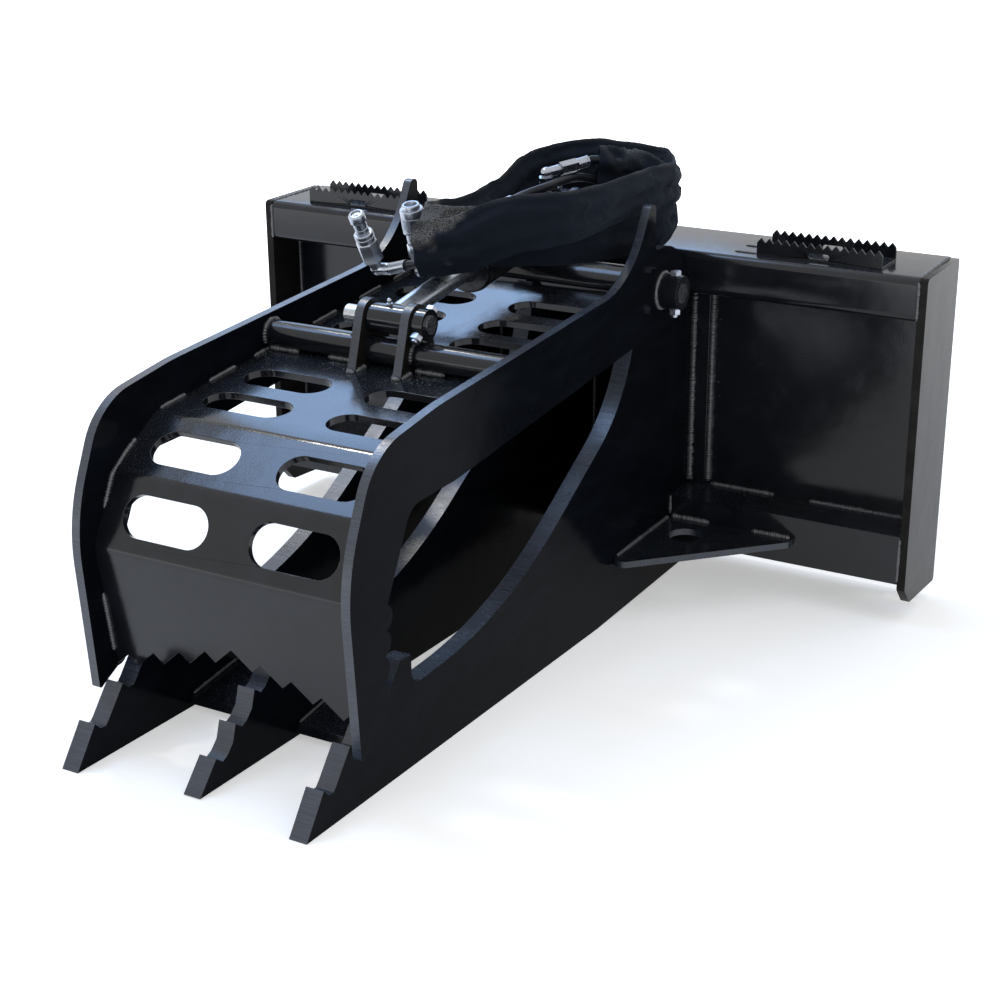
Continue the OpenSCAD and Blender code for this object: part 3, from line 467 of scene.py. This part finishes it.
frame_welds = Shape()
for s in (-1, 1):
    def run(points, radius=3.0, closed=False, side=s):
        frame_welds.bead([(side * x, y, z) for x, y, z in points], radius, closed,
                         seed=len(frame_welds.verts) * 0.01)

    run([(TINE_OUT + 2.6, BACK - 6.5, 104), (TINE_OUT + 2.6, BACK - 6.5, 424)], 6.6)
    run([(217.4, BACK - 1.5, 104), (217.4, BACK - 1.5, 424)], 5.4)
    run([(TINE_IN - 1, BACK - 1, 104), (TINE_IN - 1, BACK - 1, 424)])
    run([(13.6, BACK - 1, 104), (13.6, BACK - 1, 418)])
    run([(TINE_OUT + 1, FRONT + 0.5, 68), (TINE_OUT + 1, FRONT + 0.5, 99)])
    run([(TINE_OUT + 1, FRONT - 1, BEAM_LOW + 3), (TINE_OUT + 1, FRONT - 1, TOP - 4)])
    run([(TINE_OUT + 1, -338, 66), (TINE_OUT + 1, -156, 66)])
    run([(TINE_OUT + 1, -338, 54), (TINE_OUT + 1, -156, 54)])
    for a, b in ((190, 254), (325, 388)):
        run([(a, FRONT - 1, 66), (b, FRONT - 1, 66)], 4.4)
        run([(a, FRONT - 1, 54), (b, FRONT - 1, 54)], 3.0)
    for a, b in ((222, 330), (388, 548)):
        run([(a, BACK - 1, TUBE_TOP + 1), (b, BACK - 1, TUBE_TOP + 1)], 3.8)
        run([(a, BACK - 1, BEAM_LOW - 1), (b, BACK - 1, BEAM_LOW - 1)])
    run([(END_X - 1, BACK - 1, 106), (END_X - 1, BACK - 1, 422)])
    run([(END_X - 1, -146, TUBE_TOP + 1), (END_X - 1, -82, TUBE_TOP + 1)])
    run([(END_X - 0.5, FRONT + 0.5, 28), (END_X - 0.5, FRONT + 0.5, 97)], 2.6)
    run([(END_X - 0.5, FRONT + 0.5, BEAM_LOW + 3), (END_X - 0.5, FRONT + 0.5, TOP - 6)], 2.6)
    run([(END_X - 0.5, FRONT + 10, TOP - 0.5), (END_X - 0.5, -8, TOP - 0.5)], 2.6)
    for x in (19.6, 34.2):
        run([(x, -146, TOP + 0.8), (x, -62, TOP + 0.8)], 4.0)
    run([(20, FRONT + 1.5, TOP + 0.2), (34, FRONT + 1.5, TOP + 0.2)], 3.6)
    run(circle(TINE_IN - 0.8, PIVOT, 30.6), 3.2, True)
    run([(TINE_IN - 0.8, -916, 9.0), (TINE_IN - 0.8, -820, 19.6)], 2.8)
    run([(13.5, -916, 9.0), (13.5, -820, 19.6)], 2.8)
    for y in (-118, -76):
        run([(x, y, TOP + 0.6) for x in TREAD_WELD], 2.0)
random.seed(7)
for k in range(120):
    side = random.choice((-1, 1))
    frame_welds.spatter((side * (216 + abs(random.gauss(0, 14))), BACK - 0.2,
                         random.uniform(108, 422)), random.uniform(0.4, 1.1))
frame_weld_piece = frame_welds.piece("frame_welds")
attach(frame_weld_piece, "frame")

arm_welds = Shape()
for s in (-1, 1):
    def run(points, radius=3.0, closed=False, side=s):
        arm_welds.bead([(side * x, y, z) for x, y, z in points], radius, closed,
                       seed=len(arm_welds.verts) * 0.01)

    x = ARM_IN - 0.8
    run([(x, -953, 376.5), (x, -974, 365), (x, -1003, 344), (x, -1022, 306)], 3.4)
    run([(x, -1037.5, 196), (x, -1032, 158), (x, -1026, 112)], 3.4)
    for a, b in ((-902, -850), (-800, -742), (-700, -622), (-560, -500), (-440, -380),
                 (-345, -298)):
        run(along_y(x, a, b, 0.8), 3.2)
    run(circle(x, (CROSS_Y, CROSS_Z), 19.6, -35, 215), 3.8)
    for x in EAR_SIDES:
        run(along_y(x, -696, -672, 0.8), 4.0)
        run(along_y(x, -638, -606, 0.8), 4.0)
    run(circle(EAR_SIDES[1], (CROSS_Y, CROSS_Z), 19.6, -20, 200), 3.6)
    run([(29, -699.5, shell_top(-699) + 0.8), (42, -699.5, shell_top(-699) + 0.8)], 4.0)
    run([(29, -602.5, shell_top(-602) + 0.8), (42, -602.5, shell_top(-602) + 0.8)], 4.0)
    for y, lift in ((CROSS_Y - 12.5, 3.0), (CROSS_Y + 12.5, 3.0)):
        run([(46, y, shell_top(y) + lift), (92, y, shell_top(y) + lift)], 4.2)
        run([(140, y, shell_top(y) + lift), (189, y, shell_top(y) + lift)], 4.2)
    run(circle(ARM_OUT + 0.8, PIVOT, 25.6), 3.4, True)
random.seed(11)
for k in range(150):
    side = random.choice((-1, 1))
    x = side * (random.choice((36, 70, 185)) + random.gauss(0, 12))
    y = CROSS_Y + random.choice((-30, 30)) + random.gauss(0, 14)
    if abs(x) < 190 and abs(y - CROSS_Y) > 16:
        arm_welds.spatter((x, y, shell_top(y) + 0.2), random.uniform(0.5, 1.3))
arm_weld_piece = arm_welds.piece("arm_welds")
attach(arm_weld_piece, "arm")

BASE_PIN = (-170, 547)
CYL_TILT = math.atan2(BASE_PIN[1] - ROD_PIN[1], BASE_PIN[0] - ROD_PIN[0])


def on_barrel(x, y, z):
    """A point given along the cylinder from its base pin, in part.scad's millimetres."""
    return (x, BASE_PIN[0] + y * math.cos(CYL_TILT) - z * math.sin(CYL_TILT),
            BASE_PIN[1] + y * math.sin(CYL_TILT) + z * math.cos(CYL_TILT))


BARREL_R, CAP_BEAD_R, BOSS_R = 38.1, 38.3, 11.4


barrel_welds = Shape()
barrel_welds.bead([on_barrel(CAP_BEAD_R * math.cos(a), -52, CAP_BEAD_R * math.sin(a))
                   for a in (2 * math.pi * k / 60 for k in range(60))], 2.6, True)
for y in (-39.5, -227):
    rim = []
    for k in range(40):
        a = 2 * math.pi * k / 40
        x = BOSS_R * math.cos(a)
        rim.append(on_barrel(x, y + BOSS_R * math.sin(a), math.sqrt(BARREL_R ** 2 - x * x) + 0.5))
    barrel_welds.bead(rim, 2.4, True)
barrel_weld_piece = barrel_welds.piece("barrel_welds")
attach(barrel_weld_piece, "barrel")


# ---------------------------------------------------------------- materials
def material(name):
    """A new material with its node tree and its surface shader."""
    mat = bpy.data.materials.new(name)
    mat.use_nodes = True
    tree = mat.node_tree
    return mat, tree, tree.nodes["Principled BSDF"]


def node(tree, kind, **values):
    """A new node with its settings."""
    made = tree.nodes.new(kind)
    for key, value in values.items():
        setattr(made, key, value)
    return made


def coords(tree, scale=(1, 1, 1)):
    """The piece's own coordinates, stretched."""
    place = node(tree, "ShaderNodeTexCoord")
    mapping = node(tree, "ShaderNodeMapping")
    mapping.inputs["Scale"].default_value = scale
    tree.links.new(place.outputs["Object"], mapping.inputs["Vector"])
    return mapping.outputs["Vector"]


def noise_of(tree, scale, detail=4, rough=0.55, stretch=(1, 1, 1)):
    """Cloudy noise over the piece, from 0 to 1."""
    tex = node(tree, "ShaderNodeTexNoise")
    tex.inputs["Scale"].default_value = scale
    tex.inputs["Detail"].default_value = detail
    tex.inputs["Roughness"].default_value = rough
    tree.links.new(coords(tree, stretch), tex.inputs["Vector"])
    return tex.outputs["Fac"]


def ramp(tree, source, stops):
    """A colour ramp; each stop is (place, grey) or (place, (r, g, b))."""
    made = node(tree, "ShaderNodeValToRGB")
    elements = made.color_ramp.elements
    while len(elements) > len(stops):
        elements.remove(elements[-1])
    while len(elements) < len(stops):
        elements.new(1.0)
    for element, (place, value) in zip(elements, stops):
        element.position = place
        rgb = value if isinstance(value, tuple) else (value, value, value)
        element.color = (*rgb, 1)
    tree.links.new(source, made.inputs["Fac"])
    return made.outputs["Color"]


def mix(tree, fac, a, b):
    """A colour between a and b."""
    made = node(tree, "ShaderNodeMix", data_type="RGBA")
    for socket, value in ((made.inputs[0], fac), (made.inputs[6], a), (made.inputs[7], b)):
        if isinstance(value, (int, float)):
            socket.default_value = value
        elif isinstance(value, tuple):
            socket.default_value = (*value, 1)
        else:
            tree.links.new(value, socket)
    return made.outputs[2]


def math_of(tree, operation, a, b=0.0, clamp=False):
    """The result of a sum on two values or sockets."""
    made = node(tree, "ShaderNodeMath", operation=operation, use_clamp=clamp)
    for socket, value in zip(made.inputs, (a, b)):
        if isinstance(value, (int, float)):
            socket.default_value = value
        else:
            tree.links.new(value, socket)
    return made.outputs[0]


def bump(tree, height, strength, distance, under=None):
    """Small relief from a height, laid over the relief under it."""
    made = node(tree, "ShaderNodeBump")
    made.inputs["Strength"].default_value = strength
    made.inputs["Distance"].default_value = distance
    tree.links.new(height, made.inputs["Height"])
    if under is not None:
        tree.links.new(under, made.inputs["Normal"])
    return made.outputs["Normal"]


def facing(tree, axis):
    """How much of the surface's own direction lies along an axis of the piece, from -1 to 1."""
    place = node(tree, "ShaderNodeTexCoord")
    split = node(tree, "ShaderNodeSeparateXYZ")
    tree.links.new(place.outputs["Normal"], split.inputs[0])
    return split.outputs[axis]


def seen_rays(tree):
    """1 for the camera, mirror and glass rays, 0 for the rays that light the object."""
    path = node(tree, "ShaderNodeLightPath")
    return math_of(tree, "ADD", path.outputs["Is Camera Ray"],
                   math_of(tree, "ADD", path.outputs["Is Glossy Ray"],
                           path.outputs["Is Transmission Ray"]), True)


def paint_material(name, tone=(0.0060, 0.0068, 0.0090), gloss=0.35):
    """Gloss black powder coat: orange peel, handling marks, dust specks on what faces up, and a
    painted sky reflection that tints upward faces blue.
    """
    mat, tree, shader = material(name)
    clouds = noise_of(tree, 5.0, 5, 0.6)
    smear = noise_of(tree, 30.0, 6, 0.65, (1, 0.3, 1))
    specks = noise_of(tree, 800.0, 2, 0.5)
    upward = math_of(tree, "SUBTRACT", facing(tree, 2), 0.55, True)
    up = math_of(tree, "MULTIPLY", upward, 2.0, True)
    speck_mask = ramp(tree, specks, [(0.62, 0.0), (0.70, 1.0)])
    dusty = math_of(tree, "MULTIPLY", math_of(tree, "MULTIPLY", up, speck_mask), 0.34)
    # Upward faces are tinted sky blue through a cloudy mask: a painted sky reflection.
    painted_sky_tint = math_of(tree, "MULTIPLY", up, ramp(tree, clouds, [(0.42, 0.0), (0.75, 0.12)]))
    colour = mix(tree, ramp(tree, smear, [(0.40, 0.0), (0.8, 1.0)]), tone,
                 tuple(c * 2.0 for c in tone))
    colour = mix(tree, painted_sky_tint, colour, (0.06, 0.09, 0.14))
    colour = mix(tree, dusty, colour, (0.30, 0.33, 0.38))
    rough = mix(tree, ramp(tree, clouds, [(0.3, 0.0), (0.7, 1.0)]), (0.09,) * 3, (0.20,) * 3)
    rough = mix(tree, ramp(tree, smear, [(0.55, 0.0), (0.75, 0.5)]), rough, (0.34,) * 3)
    rough = mix(tree, dusty, rough, (0.7,) * 3)
    normal = bump(tree, noise_of(tree, 380.0, 2, 0.5), 0.13, 0.0004)
    normal = bump(tree, noise_of(tree, 14.0, 2, 0.5), 0.14, 0.004, normal)
    shader.inputs["Specular IOR Level"].default_value = gloss
    tree.links.new(colour, shader.inputs["Base Color"])
    tree.links.new(rough, shader.inputs["Roughness"])
    tree.links.new(normal, shader.inputs["Normal"])
    return mat


def cut_material(name, axis):
    """Flame-cut plate edge under paint: drag lines across the thickness, thin worn coat, and a
    lighter blue-grey that is a painted sky reflection.
    """
    mat, tree, shader = material(name)
    stretch = [640.0, 640.0, 640.0]
    stretch[axis] = 14.0
    lines = noise_of(tree, 1.0, 3, 0.6, tuple(stretch))
    wear = noise_of(tree, 24.0, 5, 0.6)
    # The drag lines run from dark to a lighter blue-grey; the lighter blue-grey is a painted sky
    # reflection on the cut edge.
    colour = mix(tree, ramp(tree, lines, [(0.3, 0.0), (0.75, 1.0)]), (0.017, 0.022, 0.034),
                 (0.046, 0.058, 0.084))
    colour = mix(tree, ramp(tree, wear, [(0.45, 0.0), (0.7, 0.6)]), colour, (0.012, 0.014, 0.019))
    rough = mix(tree, ramp(tree, wear, [(0.3, 0.0), (0.7, 1.0)]), (0.20,) * 3, (0.36,) * 3)
    shader.inputs["Specular IOR Level"].default_value = 0.65
    tree.links.new(colour, shader.inputs["Base Color"])
    tree.links.new(rough, shader.inputs["Roughness"])
    tree.links.new(bump(tree, lines, 0.5, 0.0005), shader.inputs["Normal"])
    return mat


def metal_material(name, tone, low, high, metallic=1.0, turned=None, grime=0.4):
    """Bare or plated metal with turning marks, stains and uneven gloss."""
    mat, tree, shader = material(name)
    clouds = noise_of(tree, 60.0, 5, 0.62)
    fine = noise_of(tree, 700.0, 3, 0.6)
    colour = mix(tree, ramp(tree, clouds, [(0.3, 0.0), (0.75, 1.0)]), tone,
                 tuple(c * 0.72 for c in tone))
    spots = ramp(tree, noise_of(tree, 25.0, 6, 0.7), [(0.52, 0.0), (0.72, 1.0)])
    stain = math_of(tree, "MULTIPLY", spots, grime)
    colour = mix(tree, stain, colour, tuple(c * 0.28 for c in tone))
    rough = mix(tree, ramp(tree, clouds, [(0.3, 0.0), (0.7, 1.0)]), (low,) * 3, (high,) * 3)
    rough = mix(tree, stain, rough, (min(1.0, high + 0.2),) * 3)
    height = fine
    if turned is not None:
        height = noise_of(tree, 1.0, 2, 0.5, turned)
    normal = bump(tree, height, 0.22, 0.0003)
    shader.inputs["Metallic"].default_value = metallic
    tree.links.new(colour, shader.inputs["Base Color"])
    tree.links.new(rough, shader.inputs["Roughness"])
    tree.links.new(normal, shader.inputs["Normal"])
    return mat


def rubber_material():
    """Hose cover: matt black rubber with a faint wrapped-cloth pattern."""
    mat, tree, shader = material("hose_rubber")
    clouds = noise_of(tree, 80.0, 4, 0.6)
    colour = mix(tree, ramp(tree, clouds, [(0.35, 0.0), (0.75, 1.0)]), (0.0060, 0.0080, 0.0120),
                 (0.013, 0.016, 0.023))
    rough = mix(tree, clouds, (0.30,) * 3, (0.45,) * 3)
    normal = bump(tree, noise_of(tree, 900.0, 2, 0.5), 0.25, 0.0003)
    shader.inputs["Specular IOR Level"].default_value = 0.22
    tree.links.new(colour, shader.inputs["Base Color"])
    tree.links.new(rough, shader.inputs["Roughness"])
    tree.links.new(normal, shader.inputs["Normal"])
    return mat


def fabric_material():
    """Woven nylon sleeve: a plain weave, dust where it is rubbed, and a painted sunlit highlight
    on the gathered pleats.
    """
    mat, tree, shader = material("sleeve_fabric")
    warp = node(tree, "ShaderNodeTexWave", wave_type="BANDS", bands_direction="DIAGONAL")
    warp.inputs["Scale"].default_value = 230.0
    warp.inputs["Distortion"].default_value = 1.2
    tree.links.new(coords(tree, (1, 1, 1)), warp.inputs["Vector"])
    weft = node(tree, "ShaderNodeTexWave", wave_type="BANDS", bands_direction="DIAGONAL")
    weft.inputs["Scale"].default_value = 230.0
    weft.inputs["Distortion"].default_value = 1.2
    tree.links.new(coords(tree, (1, 1, -1)), weft.inputs["Vector"])
    weave = math_of(tree, "MULTIPLY", warp.outputs["Fac"], weft.outputs["Fac"])
    dust_and_lit_pleats = node(tree, "ShaderNodeAttribute", attribute_name="dust_and_lit_pleats")
    fuzz = noise_of(tree, 600.0, 4, 0.7)
    clouds = noise_of(tree, 18.0, 5, 0.6)
    colour = mix(tree, ramp(tree, clouds, [(0.35, 0.0), (0.75, 1.0)]), (0.0040, 0.0064, 0.0112),
                 (0.0070, 0.0108, 0.0180))
    colour = mix(tree, math_of(tree, "MULTIPLY", weave, 0.4), colour, (0.012, 0.018, 0.029))
    grains = ramp(tree, fuzz, [(0.44, 0.10), (0.56, 1.0)])
    # A grey-brown is laid over the weave where the mesh attribute says: real dust, and a painted
    # sunlit highlight on the gathered pleats.
    dust_and_lit_pleat_mask = math_of(tree, "MULTIPLY", dust_and_lit_pleats.outputs["Fac"], grains)
    colour = mix(tree, dust_and_lit_pleat_mask, colour, (0.150, 0.147, 0.143))
    normal = bump(tree, weave, 0.4, 0.0005)
    normal = bump(tree, fuzz, 0.25, 0.0006, normal)
    shader.inputs["Roughness"].default_value = 0.85
    shader.inputs["Specular IOR Level"].default_value = 0.12
    shader.inputs["Sheen Weight"].default_value = 0.06
    shader.inputs["Sheen Roughness"].default_value = 0.45
    shader.inputs["Sheen Tint"].default_value = (0.55, 0.65, 0.85, 1)
    tree.links.new(colour, shader.inputs["Base Color"])
    tree.links.new(normal, shader.inputs["Normal"])
    return mat


# The tine and arm plate paint is a darker, less glossy copy of the same coat: painted shade for
# the dark ground their sides mirror.
PAINT_SHADED = paint_material("paint_with_painted_shade", (0.0030, 0.0039, 0.0058), 0.02)
# The end plate and ear paint is a lighter, warm grey copy of the same coat: a painted reflection
# of sunlit ground.
PAINT_WARM_REFLECTION = paint_material("paint_with_painted_ground_reflection", (0.0135, 0.0122, 0.0112), 0.05)
SHEET = paint_material("painted_sheet", gloss=0.42)
# Cut edges are lighter blue-grey than the paint: a painted sky reflection over real drag lines.
CUT_SKY_LIT = cut_material("cut_edge_with_painted_sky_reflection", 0)
CUT_FLAT_SKY_LIT = cut_material("cut_flat_edge_with_painted_sky_reflection", 2)
WELD = paint_material("painted_weld", (0.046, 0.048, 0.052), 0.9)
STEEL = metal_material("pin_steel", (0.58, 0.60, 0.63), 0.18, 0.34, turned=(30, 2600, 2600))
# The rod's chrome colour is tinted blue: a painted sky reflection.
CHROME_SKY_TINTED = metal_material("rod_chrome_with_painted_sky_tint", (0.60, 0.66, 0.74), 0.22, 0.34, grime=0.15)
BRONZE = metal_material("bronze", (0.46, 0.32, 0.17), 0.25, 0.42)
ZINC = metal_material("zinc", (0.46, 0.50, 0.57), 0.24, 0.42)
PLATED = metal_material("plated", (0.44, 0.47, 0.53), 0.16, 0.30, grime=0.3)
RUBBER = rubber_material()
FABRIC = fabric_material()

LOOKS = {
    PAINT_SHADED: ["tine_left", "tine_centre", "tine_right", "arm_plate_left", "arm_plate_right"],
    PAINT_WARM_REFLECTION: ["end_plate_left", "end_plate_right", "clevis_ear_left", "clevis_ear_right",
           "cylinder_ears"],
    SHEET: ["back_plate", "top_beam", "bottom_tubes", "lower_flange", "step_tread_left",
            "step_tread_right", "tine_strips", "front_cross_plates", "gusset_left",
            "gusset_right", "pivot_tube", "arm_shell",
            "cross_tube", "arm_boss_left", "arm_boss_right", "barrel_tube", "base_cap", "gland",
            "port_bosses", "rod_eye", "rod_pin_collar", "base_pin_collars"],
    STEEL: ["base_pin", "rod_pin", "pivot_pin_left", "pivot_pin_right", "piston"],
    CHROME_SKY_TINTED: ["rod"],
    BRONZE: ["pivot_bushes", "base_bush"],
    ZINC: ["thrust_washers", "base_pin_bolt", "rod_pin_bolt", "pivot_bolts", "piston_nut",
           "male_coupler", "male_coupler_elbow", "female_coupler", "female_coupler_elbow",
           "coupler_collar"],
    PLATED: ["port_elbows", "hose_crimps", "grease_fitting_base", "grease_fitting_rod"],
    RUBBER: ["rod_seals", "piston_seals", "hose_stubs"],
    FABRIC: ["hose_sleeve"],
}
EDGES = {"gusset_left": (CUT_FLAT_SKY_LIT, 2), "gusset_right": (CUT_FLAT_SKY_LIT, 2)}
EDGES.update({name: (CUT_SKY_LIT, 0) for name in LOOKS[PAINT_SHADED] + ["clevis_ear_left", "clevis_ear_right",
                                                          "cylinder_ears"]})
for look, names in LOOKS.items():
    for name in names:
        mesh = NODES[name].data
        mesh.materials.clear()
        mesh.materials.append(look)
        if name in EDGES:
            edge, axis = EDGES[name]
            mesh.materials.append(edge)
            mesh.polygons.foreach_set("material_index", [
                1 if abs(face.normal[axis]) < 0.5 else 0 for face in mesh.polygons])

for piece in (hose_plug, hose_socket, hose_rear):
    piece.data.materials.append(RUBBER)
for piece, look, slot in ((crimp_piece, PLATED, "plated_fitting"), (male_piece, ZINC, "zinc"),
                          (female_piece, ZINC, "zinc"), (ring_piece, ZINC, "zinc"),
                          (frame_weld_piece, WELD, "paint"), (arm_weld_piece, WELD, "paint"),
                          (barrel_weld_piece, WELD, "paint")):
    piece.data.materials.append(look)
sleeve.data.materials.append(FABRIC)


# ---------------------------------------------------------------- rounded plate edges
for name, obj in NODES.items():
    if obj.hide_render:
        continue
    mesh = obj.data
    if "custom_normal" in mesh.attributes:
        mesh.attributes.remove(mesh.attributes["custom_normal"])
    mesh.polygons.foreach_set("use_smooth", [True] * len(mesh.polygons))
    joined = obj.modifiers.new("joined", "WELD")
    joined.merge_threshold = 0.00002
    rounded = obj.modifiers.new("rounded", "BEVEL")
    rounded.width = 0.0007
    rounded.segments = 2
    rounded.limit_method = "ANGLE"
    rounded.angle_limit = math.radians(32)
    rounded.harden_normals = True


# ---------------------------------------------------------------- floor and light
def floor_material():
    """Pale floor that keeps the shadow and fades to the white background."""
    mat, tree, shader = material("floor")
    output = tree.nodes["Material Output"]
    shader.inputs["Roughness"].default_value = 0.9
    grain = noise_of(tree, 3.0, 3, 0.5)
    tree.links.new(mix(tree, grain, (0.80,) * 3, (0.84,) * 3), shader.inputs["Base Color"])
    shader.inputs["Specular IOR Level"].default_value = 0.0
    seen = seen_rays(tree)
    glow = node(tree, "ShaderNodeEmission")
    glow.inputs["Color"].default_value = (1, 1, 1, 1)
    reach = node(tree, "ShaderNodeVectorMath", operation="LENGTH")
    tree.links.new(coords(tree), reach.inputs[0])
    past = math_of(tree, "SUBTRACT", reach.outputs["Value"], 1.2)
    away = math_of(tree, "MULTIPLY", past, 0.4, True)
    strength = math_of(tree, "ADD", away, 0.42)
    tree.links.new(math_of(tree, "MULTIPLY", seen, strength), glow.inputs["Strength"])
    both = node(tree, "ShaderNodeAddShader")
    tree.links.new(shader.outputs[0], both.inputs[0])
    tree.links.new(glow.outputs[0], both.inputs[1])
    tree.links.new(both.outputs[0], output.inputs["Surface"])
    return mat


FLOOR_NEAR = Vector((0, -0.5735, 0.030))
FLOOR_HEEL = Vector((0, 0.1735, 0.0))
along_floor = (FLOOR_HEEL - FLOOR_NEAR).normalized()
FLOOR_SIZE, FLOOR_GAP = 40.0, 0.0005
floor = make("floor", [
    FLOOR_HEEL + along_floor * y * FLOOR_SIZE + Vector((x * FLOOR_SIZE, 0, -FLOOR_GAP))
    for x, y in ((-1, -1), (1, -1), (1, 1), (-1, 1))
], [(0, 1, 2, 3)], smooth=False)
floor.data.materials.append(floor_material())

world = bpy.data.worlds.new("world")
bpy.context.scene.world = world
world.use_nodes = True
tree = world.node_tree
back = tree.nodes["Background"]
seen = seen_rays(tree)
tree.links.new(mix(tree, seen, (0.95, 0.975, 1.0), (1.0, 1.0, 1.0)), back.inputs["Color"])
strength = math_of(tree, "ADD", math_of(tree, "MULTIPLY", seen, 0.12), 0.88)
tree.links.new(strength, back.inputs["Strength"])


def lamp(name, place, target, size_x, size_y, power, colour):
    """A soft rectangular lamp that the camera doesn't see."""
    data = bpy.data.lights.new(name, "AREA")
    data.shape = "RECTANGLE"
    data.size, data.size_y = size_x, size_y
    data.energy = power
    data.color = colour
    obj = bpy.data.objects.new(name, data)
    obj.location = place
    obj.rotation_euler = (Vector(target) - Vector(place)).to_track_quat("-Z", "Y").to_euler()
    obj.visible_camera = False
    bpy.context.scene.collection.objects.link(obj)


lamp("sky", (-2.45, 4.05, 3.15), (0, -0.1, 0.45), 2.3, 1.9, 40, (0.22, 0.50, 1.0))
lamp("overhead", (-1.45, -0.15, 3.35), (0, -0.3, 0.4), 1.25, 1.25, 34, (0.36, 0.58, 1.0))
lamp("sun", (-1.9, 0.9, 3.5), (0, -0.1, 0.4), 0.3, 0.3, 22, (1.0, 0.97, 0.92))

bpy.context.scene.view_settings.view_transform = "Standard"
